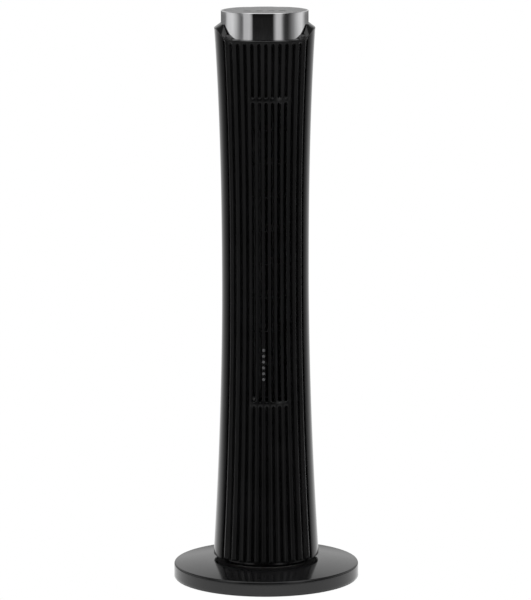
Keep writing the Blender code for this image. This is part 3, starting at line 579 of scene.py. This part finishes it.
def opening_limits(offset):
    """(low, high) of the intake at an angle from the middle of the back, with round corners."""
    corner_angle = INTAKE_CORNER / column_radius(INTAKE_LOW)
    into = max(0.0, abs(offset) - (INTAKE_HALF_ANGLE - corner_angle)) / corner_angle
    drop = INTAKE_CORNER * (1.0 - math.sqrt(max(0.0, 1.0 - into * into)))
    return INTAKE_LOW + drop, INTAKE_HIGH - drop


def shell_angles():
    """Angles from the front, + to the right, from one edge round the back to the other."""
    corner_angle = INTAKE_CORNER / column_radius(INTAKE_LOW)
    side = steps_between(SHELL_EDGE, CREASE[1], 24)
    side += steps_between(CREASE[1], math.pi - INTAKE_HALF_ANGLE, 24)[1:]
    corner = [math.pi - INTAKE_HALF_ANGLE + corner_angle * (1.0 - math.cos(angle))
              for angle in quarter_turn(6)][1:]
    middle = steps_between(corner[-1], math.pi, 12)[1:]
    half = side + corner + middle
    return half + [TURN - angle for angle in reversed(half[:-1])]


def thicken(builder, thickness, rim, steps=5):
    """Gives an open surface a back and rounded rims. Its faces point outwards."""
    merged(builder)
    fronts = list(builder.verts)
    faces = list(builder.faces)
    edges = [edge for edge in builder.edges if edge.is_boundary]
    normals = {vert: vert.normal.copy() for vert in fronts}
    outward = {}
    directed = []
    for edge in edges:
        loop = edge.link_loops[0]
        start, end = loop.vert, loop.link_loop_next.vert
        side = (end.co - start.co).normalized().cross(loop.face.normal)
        directed.append((start, end))
        for vert in (start, end):
            outward[vert] = outward.get(vert, Vector()) + side
    backs = {vert: builder.verts.new(vert.co - normals[vert] * thickness) for vert in fronts}
    for face in faces:
        builder.faces.new([backs[vert] for vert in reversed(face.verts)])
    rings = {}
    for vert, side in outward.items():
        side = (side - normals[vert] * side.dot(normals[vert])).normalized()
        middle = vert.co - normals[vert] * thickness / 2
        ring = [vert]
        for index in range(1, steps):
            angle = math.pi * index / steps
            along = math.copysign(abs(math.cos(angle)) ** 0.6, math.cos(angle)) * thickness / 2
            out = side * rim * math.sin(angle) ** 0.6
            ring.append(builder.verts.new(middle + normals[vert] * along + out))
        rings[vert] = ring + [backs[vert]]
    for start, end in directed:
        grid_faces(builder, list(zip(rings[end], rings[start])))
    return builder


def make_rear_shell():
    builder = bmesh.new()
    angles = shell_angles()
    first_open = next(i for i, angle in enumerate(angles) if angle >= math.pi - INTAKE_HALF_ANGLE - 1e-6)
    last_open = len(angles) - 1 - first_open
    whole, below, above = {}, {}, {}

    def add_column(columns, index, points):
        columns[index] = [builder.verts.new(on_column(angles[index], r, z)) for r, z in points]

    for index, angle in enumerate(angles):
        points = shell_profile(min(angle, TURN - angle))
        add_column(whole, index, points)
        if first_open <= index <= last_open:
            low, high = opening_limits(angle - math.pi)
            sill, lintel = (column_radius(low), low), (column_radius(high), high)
            add_column(below, index, [(r, z) if z <= low else sill for r, z in points])
            add_column(above, index, [(r, z) if z >= high else lintel for r, z in points])
    for index in range(len(angles) - 1):
        for columns in (below, above) if first_open <= index < last_open else (whole,):
            grid_faces(builder, list(zip(columns[index], columns[index + 1])))
    loose = [vert for vert in builder.verts if not vert.link_faces]
    bmesh.ops.delete(builder, geom=loose, context="VERTS")
    return thicken(builder, SHELL_WALL, 0.0004)


new_piece("rear_casing", make_rear_shell(), "gloss_black", "tower", "rear_shell", 45.0)


# Rear grille: a sheet with rows of round-ended slots, drawn flat and wrapped round the back

GRILLE_LOW, GRILLE_HIGH = [corner.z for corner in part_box("rear_grille")]
GRILLE_HALF_ANGLE = math.radians(38.0)
GRILLE_RADIUS = 0.0775  # where the flat drawing's widths are true
GRILLE_HALF_WIDTH = GRILLE_HALF_ANGLE * GRILLE_RADIUS
GRILLE_CORNER = INTAKE_CORNER - 0.0006
GRILLE_MARGIN = 0.0125
GRILLE_COLUMNS, GRILLE_ROWS = 4, 66
GRILLE_SLOT = (0.0083, 0.0027)  # half of a slot's width and of its height
GRILLE_WALL = 0.002


def slot_outline(cell):
    """(point of the slot's outline, point of its cell's edge) pairs, anticlockwise about its middle."""
    reach, end = GRILLE_SLOT[0] - GRILLE_SLOT[1], GRILLE_SLOT[1]

    def turned(degrees):
        angle = math.radians(degrees)
        return reach + end * math.cos(angle), end * math.sin(angle)

    half = []
    for share in (-1.0, -0.5, 0.0, 0.5, 1.0):
        half.append((turned(45.0 * share), (cell[0], cell[1] * share)))
    along = [turned(67.5), turned(90.0)] + [(reach * share, end) for share in (1 / 3, -1 / 3, -1.0)]
    along.append((-along[0][0], along[0][1]))
    half += [((x, z), (x, cell[1])) for x, z in along]
    return half + [((-x, -z), (-u, -v)) for (x, z), (u, v) in half]


def grille_limit(across):
    """How far the grille's end is drawn in by its round corners."""
    into = max(0.0, abs(across) - (GRILLE_HALF_WIDTH - GRILLE_CORNER)) / GRILLE_CORNER
    return GRILLE_CORNER * (1.0 - math.sqrt(max(0.0, 1.0 - into * into)))


def make_rear_grille():
    builder = bmesh.new()

    def vert_at(across, height):
        angle = math.pi + across / GRILLE_RADIUS
        return builder.verts.new(on_column(angle, column_radius(height), height))

    field = GRILLE_HALF_WIDTH - GRILLE_MARGIN
    low, high = GRILLE_LOW + GRILLE_MARGIN, GRILLE_HIGH - GRILLE_MARGIN
    cell = (field / GRILLE_COLUMNS, (high - low) / GRILLE_ROWS / 2)
    pairs = slot_outline(cell)
    middles = [-field + (2 * column + 1) * cell[0] for column in range(GRILLE_COLUMNS)]
    for x in middles:
        for row in range(GRILLE_ROWS):
            z = low + (2 * row + 1) * cell[1]
            rings = [[vert_at(x + u, z + v) for u, v in ring] for ring in zip(*pairs)]
            grid_faces(builder, [ring + ring[:1] for ring in reversed(rings)])
    divisions = sorted({round(u, 7) for _, (u, v) in pairs if v >= cell[1] - 1e-9})
    across = [x + u for x in middles for u in divisions]
    for ends in ((GRILLE_LOW, low), (high, GRILLE_HIGH)):
        grid_faces(builder, [[vert_at(x, height) for x in across] for height in ends])
    rounding = [GRILLE_CORNER * (1.0 - math.cos(turn)) for turn in quarter_turn(6)]
    side = [GRILLE_HALF_WIDTH - inset for inset in rounding] + [field]
    for xs in ([-x for x in side], list(reversed(side))):
        rows = [[vert_at(x, GRILLE_LOW + grille_limit(x)) for x in xs]]
        for height in steps_between(low, high, 4 * GRILLE_ROWS):
            rows.append([vert_at(x, height) for x in xs])
        rows.append([vert_at(x, GRILLE_HIGH - grille_limit(x)) for x in xs])
        grid_faces(builder, rows)
    return thicken(builder, GRILLE_WALL, 0.0003, 3)


new_piece("intake_grille", make_rear_grille(), "satin_black", "tower", "rear_grille", 45.0)


# Screws

BASE_SCREW = (0.0040, 0.0020, 0.0018, 0.0150)  # head radius, shank radius, head height, whole length
SHELL_SCREW = (0.0036, 0.0015, 0.0016, 0.0110)
BASE_SCREW_CIRCLE = 0.148
BASE_SCREW_LOW = 0.0014
SHELL_SCREW_HEIGHTS = (0.110, 0.915)
SHELL_SCREW_ANGLE = math.radians(62.0)  # from the middle of the back
SHELL_SCREW_SEAT = 0.0021  # from the casing's surface to the top of the head


def screw_mesh(name, head, shank, thickness, length):
    """A pan-head screw along Z, head down, with a cross recess in the head."""
    profile = [(0.0, length), (shank * 0.25, length), (shank, length - 1.6 * shank), (shank, thickness)]
    profile += [(head - 0.0002, thickness), (head, thickness - 0.0002)]
    profile += arc((head - 0.0008, 0.0008), 0.0008, 0, -80, 6)
    profile.append((0.0, 0.0))
    screw = revolve(profile, 40, closed=False)
    size = Matrix.Diagonal((1.15 * head, 0.0009, 1.3 * thickness, 1.0))
    for turn in (0.0, TURN / 4):
        recess = bmesh.new()
        bmesh.ops.create_cube(recess, size=1.0, matrix=Matrix.Rotation(turn, 4, "Z") @ size)
        screw = carved(screw, recess)
    return finished_mesh(name, screw, MATERIALS["steel"])


shell_screw = screw_mesh("shell_screw", *SHELL_SCREW)
shell_screw_places = [(height, side) for height in SHELL_SCREW_HEIGHTS for side in (-1, 1)]
for index, (height, side) in enumerate(shell_screw_places, start=1):
    turn = Matrix.Rotation(TURN / 4 + side * SHELL_SCREW_ANGLE, 4, "Z")
    place = Matrix.Translation((column_radius(height) + SHELL_SCREW_SEAT, 0.0, height))
    place_piece(f"casing_screw_{index}", shell_screw, "tower", f"shell_screw_{index}",
                turn @ place @ Matrix.Rotation(-TURN / 4, 4, "Y"))

base_screw = screw_mesh("base_screw", *BASE_SCREW)
for index in range(4):
    turn = Matrix.Rotation(TURN / 8 + index * TURN / 4, 4, "Z")
    place_piece(f"plate_screw_{index + 1}", base_screw, "base", f"base_screw_{index + 1}",
                turn @ Matrix.Translation((BASE_SCREW_CIRCLE, 0.0, BASE_SCREW_LOW)))


# Indicator lenses: a row of small domes on the rib left of the middle slot

LENSES = 6
LENS_RADIUS = 0.0026
LENS_RISE = 0.0018
LENS_PITCH = 0.0102
LENS_MIDDLE = 0.3915


def make_indicator_lenses():
    builder = bmesh.new()
    for index in range(LENSES):
        height = LENS_MIDDLE + (index - (LENSES - 1) / 2) * LENS_PITCH
        radius = column_radius(height)
        x = -GROOVE_PITCH * radius / 2
        profile = [(LENS_RADIUS * math.sin(turn), LENS_RISE * math.cos(turn))
                   for turn in quarter_turn(10)]
        dome = revolve(profile + [(LENS_RADIUS, -0.0008), (0.0, -0.0008)], 32, closed=False)
        place = Matrix.Translation((x, -math.sqrt(radius * radius - x * x), height))
        moved(dome, place @ Matrix.Rotation(TURN / 4, 4, "X"))
        mesh = bpy.data.meshes.new("dome")
        dome.to_mesh(mesh)
        dome.free()
        builder.from_mesh(mesh)
        bpy.data.meshes.remove(mesh)
    return builder


new_piece("lens_row", make_indicator_lenses(), "lens_grey", "tower", "indicator_lenses")


# Cross-flow wheel: nine moulded segments of curved blades, and an end disc

WHEEL_Y = 0.008
WHEEL_RADIUS = 0.042
WHEEL_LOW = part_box("wheel_segment_1")[0].z
WHEEL_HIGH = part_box("wheel_end_disc")[0].z
WHEEL_SEGMENTS = 9
WHEEL_PITCH = (WHEEL_HIGH - WHEEL_LOW) / WHEEL_SEGMENTS
WHEEL_DISC = 0.002
BLADES = 32
BLADE_INNER, BLADE_OUTER = 0.0345, 0.0417
BLADE_SWEEP = math.radians(-7.0)  # the blades' outer edges lead, and the wheel turns clockwise from above
BLADE_THICKNESS = 0.0010
BLADE_STEPS = 6


def disc(radius, low, high, edge=0.0004):
    profile = [(0.0, high), (radius - edge, high), (radius, high - edge)]
    profile += [(radius, low + edge), (radius - edge, low), (0.0, low)]
    return revolve(profile, 96, closed=False)


def blade_outline(first_angle):
    """One blade's section, a thin crescent that leaves the wheel's inner rim radially."""
    middle = []
    for share in steps_between(0.0, 1.0, BLADE_STEPS):
        radius = BLADE_INNER + (BLADE_OUTER - BLADE_INNER) * share
        angle = first_angle + BLADE_SWEEP * share**2
        middle.append(Vector((radius * math.cos(angle), radius * math.sin(angle))))
    right, left = [], []
    for index, point in enumerate(middle):
        along = (middle[min(index + 1, BLADE_STEPS)] - middle[max(index - 1, 0)]).normalized()
        half = BLADE_THICKNESS / 2 * (0.55 + 0.45 * math.sin(math.pi * index / BLADE_STEPS))
        across = Vector((along.y, -along.x)) * half
        right.append(point + across)
        left.append(point - across)
    return right + left[::-1]


def wheel_segment_mesh():
    blades = bmesh.new()
    for index in range(BLADES):
        add_prism(blades, blade_outline(TURN * index / BLADES), WHEEL_DISC / 2, WHEEL_PITCH - 0.0003)
    joined = carved(disc(WHEEL_RADIUS, 0.0, WHEEL_DISC), blades, "UNION")
    return finished_mesh("wheel_segment", joined, MATERIALS["wheel_grey"])


wheel_segment = wheel_segment_mesh()
for index in range(WHEEL_SEGMENTS):
    place = Matrix.Translation((0.0, WHEEL_Y, WHEEL_LOW + index * WHEEL_PITCH))
    place_piece(f"blade_segment_{index + 1}", wheel_segment, "wheel", f"wheel_segment_{index + 1}", place)
end_disc = disc(WHEEL_RADIUS, WHEEL_HIGH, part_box("wheel_end_disc")[1].z)
new_piece("wheel_cap", end_disc, "wheel_grey", "wheel", "wheel_end_disc",
          place=Matrix.Translation((0.0, WHEEL_Y, 0.0)))


# Cap


def make_cap_ring():
    (_, _, low), (outer, _, high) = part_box("cap_ring")
    inner = outer - 0.0020
    edge = 0.0013
    profile = [(inner + 0.0003, high)]
    profile += arc((outer - edge, high - edge), edge, 90, 0, 8)
    profile += [(outer, height) for height in steps_between(high - edge, low, 8)[1:]]
    profile += [(inner, low), (inner, high - 0.0003)]
    return revolve(profile, 192)


new_piece("cap_band", make_cap_ring(), "chrome", "tower", "cap_ring", 50.0)


(_, _, TOP_LOW), (TOP_RADIUS, _, TOP_HIGH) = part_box("top_panel")
BUTTON_RADIUS = 0.0070
BUTTON_FLANGE = 0.0012
BUTTON_ROW_Y = -0.020
BUTTONS = {"power_button": -0.030, "speed_button": -0.010, "swing_button": 0.010, "timer_button": 0.030}
BUTTON_DISH = 0.0005
MARK_WIDTH = 0.0005


def make_top_panel():
    edge = 0.0005
    profile = [(0.0, TOP_HIGH)] + arc((TOP_RADIUS - edge, TOP_HIGH - edge), edge, 90, 0, 5)
    profile += [(TOP_RADIUS, TOP_LOW), (0.0, TOP_LOW)]
    holes = bmesh.new()
    for x in BUTTONS.values():
        add_rod(holes, BUTTON_RADIUS + 0.0003, TOP_LOW - 0.002, TOP_HIGH + 0.002, (x, BUTTON_ROW_Y))
    return carved(revolve(profile, 160, closed=False), holes)


def make_button():
    """A dished button about the Z axis, with a flange that stops it under the panel."""
    high, stop = TOP_HIGH, TOP_LOW - 0.0003
    edge = 0.0005
    dish = BUTTON_RADIUS - 2 * edge
    profile = []
    for radius in steps_between(0.0, dish, 10):
        profile.append((radius, high - BUTTON_DISH * (1.0 - (radius / dish) ** 2)))
    profile += arc((BUTTON_RADIUS - edge, high - edge), edge, 90, 0, 5)
    profile += [(BUTTON_RADIUS, stop), (BUTTON_RADIUS + BUTTON_FLANGE, stop)]
    profile += [(BUTTON_RADIUS + BUTTON_FLANGE, stop - BUTTON_FLANGE), (0.0, stop - BUTTON_FLANGE)]
    return revolve(profile, 64, closed=False)


def bar(start, end):
    """Outline of a straight mark between two points."""
    start, end = Vector(start), Vector(end)
    along = (end - start).normalized() * MARK_WIDTH / 2
    across = Vector((-along.y, along.x))
    return [start - across, end - across, end + across, start + across]


def ring_mark(radius, first, last):
    """Outline of a curved mark, with its angles in degrees."""
    outer = arc((0.0, 0.0), radius + MARK_WIDTH / 2, first, last, 24)
    return outer + arc((0.0, 0.0), radius - MARK_WIDTH / 2, last, first, 24)


SPEEDS = ((-0.0016, -0.0004), (0.0, 0.0009), (0.0016, 0.0022))  # (x, top) of three rising bars
MARKS = {
    "power_button": [ring_mark(0.0021, -235, 55), bar((0.0, 0.0008), (0.0, 0.0028))],
    "speed_button": [bar((x, -0.0018), (x, top)) for x, top in SPEEDS],
    "swing_button": [bar((-0.0014, 0.0), (0.0014, 0.0)), [(0.0014, -0.0010), (0.0030, 0.0), (0.0014, 0.0010)],
                     [(-0.0014, 0.0010), (-0.0030, 0.0), (-0.0014, -0.0010)]],
    "timer_button": [ring_mark(0.0022, -267, 87), bar((0.0, 0.0), (0.0, 0.0014)),
                     bar((0.0, 0.0), (0.0011, -0.0006))],
}

new_piece("control_panel", make_top_panel(), "panel_grey", "tower", "top_panel")
button_mesh = finished_mesh("button", make_button(), MATERIALS["satin_black"])
for name, x in BUTTONS.items():
    place = Matrix.Translation((x, BUTTON_ROW_Y, 0.0))
    place_piece(f"{name}_cap", button_mesh, name, name, place)
    mark = bmesh.new()
    for outline in MARKS[name]:
        add_prism(mark, outline, TOP_HIGH - 2 * BUTTON_DISH, TOP_HIGH - 0.6 * BUTTON_DISH)
    new_piece(f"{name}_mark", mark, "legend_grey", name, place=place)


# Base

(_, _, RIM_BOTTOM), (BASE_RADIUS, _, NECK_TOP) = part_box("base_cover")
NECK_RADIUS = 0.0740
NECK_HOLE = 0.0225
DECK_HEIGHT = 0.0350
DECK_RADIUS = 0.0905
DOME_RADIUS = 0.1600
DOME_DROP = 0.0088
DOME_POWER = 1.4
RIM_TOP = 0.0225
BASE_WALL = 0.003
CORD_HOLE = 0.0053  # its radius
CORD_HEIGHT = 0.0131
PLATE_HOLE = 0.009
FOOT_CIRCLE = 0.136
FOOT_HEIGHT = 0.0032


def dome_height(radius):
    share = max(0.0, radius - DECK_RADIUS) / (DOME_RADIUS - DECK_RADIUS)
    return DECK_HEIGHT - DOME_DROP * share**DOME_POWER


def make_base_cover():
    profile = [(NECK_HOLE, NECK_TOP - 0.0004), (NECK_HOLE + 0.0004, NECK_TOP)]
    profile += arc((NECK_RADIUS - 0.0006, NECK_TOP - 0.0006), 0.0006, 90, 0, 4)
    profile += arc((NECK_RADIUS + 0.0008, DECK_HEIGHT + 0.0008), 0.0008, 180, 270, 4)
    profile += [(radius, dome_height(radius)) for radius in steps_between(DECK_RADIUS, DOME_RADIUS, 22)]
    round_high = dome_height(DOME_RADIUS) - RIM_TOP
    for angle in steps_between(math.radians(75), 0.0, 8):
        radius = DOME_RADIUS + (BASE_RADIUS - DOME_RADIUS) * math.cos(angle)
        profile.append((radius, RIM_TOP + round_high * math.sin(angle)))
    profile += [(BASE_RADIUS, height) for height in steps_between(RIM_TOP, RIM_BOTTOM + 0.0005, 5)[1:]]
    profile += [(BASE_RADIUS - 0.0005, RIM_BOTTOM), (BASE_RADIUS - BASE_WALL, RIM_BOTTOM)]
    profile.append((BASE_RADIUS - BASE_WALL, RIM_TOP - 0.001))
    profile.append((DOME_RADIUS - 0.004, dome_height(DOME_RADIUS) - BASE_WALL))
    profile += [(radius, dome_height(radius) - BASE_WALL) for radius in steps_between(0.150, DECK_RADIUS, 8)]
    inner, under = NECK_RADIUS - BASE_WALL, NECK_TOP - BASE_WALL
    profile += [(inner, DECK_HEIGHT - BASE_WALL), (inner, under), (NECK_HOLE, under)]
    hole = bmesh.new()
    add_rod(hole, CORD_HOLE, -0.010, 0.010)
    moved(hole, Matrix.Translation((0.0, BASE_RADIUS, CORD_HEIGHT)) @ Matrix.Rotation(-TURN / 4, 4, "X"))
    return carved(revolve(profile, 192), hole)


def make_grommet():
    """The bush for the mains lead, along Z with its outer face up."""
    neck, bore, flange = CORD_HOLE - 0.0003, 0.0033, CORD_HOLE + 0.0008
    profile = [(bore, -0.0005)] + arc((bore + 0.0005, -0.0005), 0.0005, 180, 90, 4)
    profile += arc((neck - 0.0004, -0.0004), 0.0004, 90, 0, 4) + [(neck, -0.0034)]
    profile += [(flange, -0.0037), (flange, -0.0066), (bore, -0.0066)]
    return revolve(profile, 64)


def make_base_plate():
    """The base's underside: a flat plate with shallow rings and the screws' holes."""
    (_, _, low), (radius, _, high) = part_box("base_bottom_plate")
    profile = [(PLATE_HOLE, high), (radius - 0.0005, high), (radius, high - 0.0005), (radius, low + 0.0005)]
    profile.append((radius - 0.0005, low))
    for ring in (0.120, 0.086, 0.052):
        profile += [(ring + 0.0012, low), (ring + 0.0008, low + 0.0008)]
        profile += [(ring - 0.0008, low + 0.0008), (ring - 0.0012, low)]
    profile.append((PLATE_HOLE, low))
    holes = bmesh.new()
    for index in range(4):
        angle = TURN / 8 + index * TURN / 4
        centre = (BASE_SCREW_CIRCLE * math.cos(angle), BASE_SCREW_CIRCLE * math.sin(angle))
        add_rod(holes, 0.0024, low - 0.002, high + 0.002, centre, 24)
    return carved(revolve(profile, 160), holes)


def make_foot():
    """A rubber pad with a groove in its underside."""
    radius, height, edge = 0.010, FOOT_HEIGHT, 0.0007
    profile = [(0.0, height), (radius, height)] + arc((radius - edge, edge), edge, 0, -90, 5)
    profile += [(0.0070, 0.0), (0.0066, 0.0005), (0.0056, 0.0005), (0.0052, 0.0), (0.0, 0.0)]
    return revolve(profile, 64, closed=False)


new_piece("base_disc", make_base_cover(), "charcoal", "base", "base_cover", 50.0)
new_piece("base_plate", make_base_plate(), "satin_black", "base", "base_bottom_plate")
bush_place = Matrix.Translation((0.0, BASE_RADIUS - 0.0003, CORD_HEIGHT)) @ Matrix.Rotation(-TURN / 4, 4, "X")
new_piece("cord_bush", make_grommet(), "rubber", "base", "cord_grommet", place=bush_place)
foot_mesh = finished_mesh("foot", make_foot(), MATERIALS["rubber"])
for index in range(6):
    turn = Matrix.Rotation(TURN / 12 + index * TURN / 6, 4, "Z")
    place_piece(f"foot_{index + 1}", foot_mesh, "base", f"foot_pad_{index + 1}",
                turn @ Matrix.Translation((FOOT_CIRCLE, 0.0, 0.0)))


# Studio: a white floor and surround, and the strips and dark flags that gloss mirrors

CAMERA_AZIMUTH = math.radians(-1.3)  # the column stands turned a little to its left
CAMERA_DISTANCE = 6.30
CAMERA_HEIGHT = 1.501
CAMERA_PITCH = math.radians(9.09)
CAMERA_ROLL = math.radians(-0.16)
CAMERA_LENS = 219.1


def make_camera():
    data = bpy.data.cameras.new("camera")
    data.lens = CAMERA_LENS
    data.clip_end = 100.0
    camera = bpy.data.objects.new("camera", data)
    turn = Matrix.Rotation(CAMERA_AZIMUTH, 4, "Z")
    place = Matrix.Translation((0.0, -CAMERA_DISTANCE, CAMERA_HEIGHT))
    tilt = Matrix.Rotation(TURN / 4 - CAMERA_PITCH, 4, "X") @ Matrix.Rotation(CAMERA_ROLL, 4, "Z")
    camera.matrix_world = turn @ place @ tilt
    SCENE.collection.objects.link(camera)
    SCENE.camera = camera


FLOOR_RADIUS = 0.26
# radius of the dark disc laid under the base's edge as a painted contact shadow
PAINTED_SHADOW_RADIUS = 0.1610
FLOOR_GLOW = 0.97  # the floor is lit evenly from below, so nothing throws a shadow on it


def stage_disc(name, radius, height, look):
    builder = bmesh.new()
    bmesh.ops.create_circle(builder, cap_ends=True, segments=96, radius=radius)
    mesh = finished_mesh(name, builder, look.material)
    ground = bpy.data.objects.new(name, mesh)
    ground.location.z = height
    SCENE.collection.objects.link(ground)


def make_floor():
    """A floor that glows evenly, with a dark disc under the base's edge as a painted contact shadow."""
    white = Look("studio_white", (0.04, 0.04, 0.04), 0.9, Specular_IOR_Level=0.0,
                 Emission_Color=(1.0, 1.0, 1.0, 1.0), Emission_Strength=FLOOR_GLOW)
    stage_disc("studio_floor", FLOOR_RADIUS, 0.0, white)
    # Painted contact shadow: a dark disc, a little wider than the base, on the glowing floor under the base's
    # edge
    dark = Look("painted_contact_shadow", (0.02, 0.02, 0.02), 0.9, Specular_IOR_Level=0.0)
    stage_disc("painted_contact_shadow", PAINTED_SHADOW_RADIUS, 0.0002, dark)


def both_sides(stops):
    return [(-angle, value) for angle, value in reversed(stops)] + stops


# What gloss mirrors: brightness against azimuth from the camera in degrees, + to the right, in
# bands from the floor up. Two strip lights stand left and right of the camera with dark flags
# beside them, and the white surround shows past the flags.

NEAR_FLOOR = both_sides([(1, 0.30), (90, 0.30), (112, 0.03), (116, 0.70), (120, 0.95), (124, 1.20),
                         (130, 1.30), (140, 1.10), (180, 1.00)])
FAR_FLOOR = both_sides([(1, 0.065), (90, 0.065), (112, 0.04), (118, 0.09), (123, 0.18), (129, 0.27),
                        (136, 0.37), (143, 0.52), (153, 0.67), (180, 1.00)])
FLAGS = both_sides([(1, 0.04), (90, 0.05), (112, 0.03), (118, 0.05), (123, 0.08), (128, 0.16),
                    (135, 0.34), (142, 0.50), (151, 0.61), (180, 0.80)])
LOW_FLAGS = both_sides([(1, 0.12), (60, 0.12), (90, 0.10), (112, 0.03), (118, 0.08), (123, 0.14),
                        (128, 0.26), (135, 0.48), (142, 0.64), (151, 0.72), (180, 0.85)])
STRIP_FEET = [
    (-180, 1.00), (-137, 1.00), (-131, 0.90), (-125, 0.50), (-121, 0.12), (-117, 0.03), (-90, 0.20),
    (-69, 0.10), (-62, 0.48), (-42, 0.48), (-32, 0.04), (22, 0.04), (30, 0.40), (46, 0.42), (54, 0.06),
    (70, 0.06), (90, 0.20), (117, 0.03), (121, 0.12), (125, 0.50), (131, 0.90), (137, 1.00), (180, 1.00),
]
STRIPS = [
    (-180, 0.12), (-127, 0.17), (-121, 0.42), (-114, 0.62), (-94, 0.71), (-88, 0.62), (-79, 0.44),
    (-72, 0.25), (-64, 0.10), (-60, 0.16), (-56, 0.47), (-41, 0.53), (-36, 0.42), (-33, 0.20),
    (-31, 0.01), (21, 0.01), (27, 0.32), (32, 0.56), (42, 0.52), (47, 0.26), (51, 0.08), (56, 0.032),
    (63, 0.028), (70, 0.09), (82, 0.25), (92, 0.46), (101, 0.63), (112, 0.72), (118, 0.64), (126, 0.40),
    (134, 0.20), (180, 0.12),
]
UPPER_STRIPS = [
    (-180, 0.80), (-150, 0.55), (-98, 0.60), (-90, 0.47), (-69, 0.10), (-62, 0.45), (-42, 0.51),
    (-32, 0.006), (22, 0.006), (30, 0.45), (44, 0.53), (52, 0.15), (57, 0.03), (68, 0.03), (84, 0.22),
    (103, 0.53), (123, 0.65), (150, 0.55), (180, 0.80),
]
OVERHEAD = both_sides([(1, 0.25), (28, 0.25), (42, 1.30), (64, 1.30), (84, 0.15), (162, 0.15),
                       (171, 0.55), (180, 0.55)])
ZENITH = both_sides([(1, 1.30), (180, 1.30)])
BANDS = [  # elevation in degrees at which each band reaches its full strength
    (-11.3, NEAR_FLOOR), (-9.2, FAR_FLOOR), (-7.0, FLAGS), (-6.3, LOW_FLAGS), (-5.3, STRIP_FEET),
    (-5.0, STRIPS), (8.0, UPPER_STRIPS), (26.0, UPPER_STRIPS), (34.0, OVERHEAD), (60.0, OVERHEAD),
    (72.0, ZENITH),
]
WHITE_ROOM = 1.15


class Studio:
    """The world's nodes."""

    def __init__(self):
        world = bpy.data.worlds.new("studio")
        SCENE.world = world
        world.use_nodes = True
        world.cycles.sampling_method = "NONE"
        self.tree = world.node_tree
        self.background = self.tree.nodes["Background"]

    def math(self, operation, first, second=0.0):
        node = self.tree.nodes.new("ShaderNodeMath")
        node.operation = operation
        for socket, value in zip(node.inputs, (first, second)):
            if isinstance(value, float):
                socket.default_value = value
            else:
                self.tree.links.new(value, socket)
        return node.outputs["Value"]

    def ramp(self, azimuth, stops):
        return add_ramp(self.tree, azimuth, [((angle + 180.0) / 360.0, value) for angle, value in stops])

    def mix(self, share, low, high):
        node = self.tree.nodes.new("ShaderNodeMix")
        node.data_type = "RGBA"
        self.tree.links.new(share, node.inputs["Factor"])
        colours = [socket for socket in node.inputs if socket.type == "RGBA"]
        for socket, value in zip(colours, (low, high)):
            if isinstance(value, float):
                socket.default_value = (value, value, value, 1.0)
            else:
                self.tree.links.new(value, socket)
        return next(socket for socket in node.outputs if socket.type == "RGBA")

    def between(self, value, low, high):
        """0 below low, 1 above high, and a straight ramp between them."""
        node = self.tree.nodes.new("ShaderNodeMapRange")
        node.inputs["From Min"].default_value = low
        node.inputs["From Max"].default_value = high
        self.tree.links.new(value, node.inputs["Value"])
        return node.outputs["Result"]


def make_studio():
    studio = Studio()
    place = studio.tree.nodes.new("ShaderNodeTexCoord")
    parts = studio.tree.nodes.new("ShaderNodeSeparateXYZ")
    studio.tree.links.new(place.outputs["Generated"], parts.inputs["Vector"])
    x, y, z = parts.outputs
    back = studio.math("MULTIPLY", y, -1.0)
    angle = studio.math("ARCTAN2", x, back)
    azimuth = studio.between(angle, CAMERA_AZIMUTH - math.pi, CAMERA_AZIMUTH + math.pi)
    elevation = studio.math("DEGREES", studio.math("ARCSINE", z))
    mirrored = studio.ramp(azimuth, BANDS[0][1])
    for (below, _), (height, stops) in zip(BANDS, BANDS[1:]):
        share = studio.between(elevation, below, height)
        mirrored = studio.mix(share, mirrored, studio.ramp(azimuth, stops))
    rays = studio.tree.nodes.new("ShaderNodeLightPath")
    lit = studio.mix(rays.outputs["Is Diffuse Ray"], mirrored, WHITE_ROOM)
    seen = studio.mix(rays.outputs["Is Camera Ray"], lit, 1.0)
    studio.tree.links.new(seen, studio.background.inputs["Color"])


make_camera()
make_floor()
make_studio()
SCENE.view_settings.view_transform = "Standard"
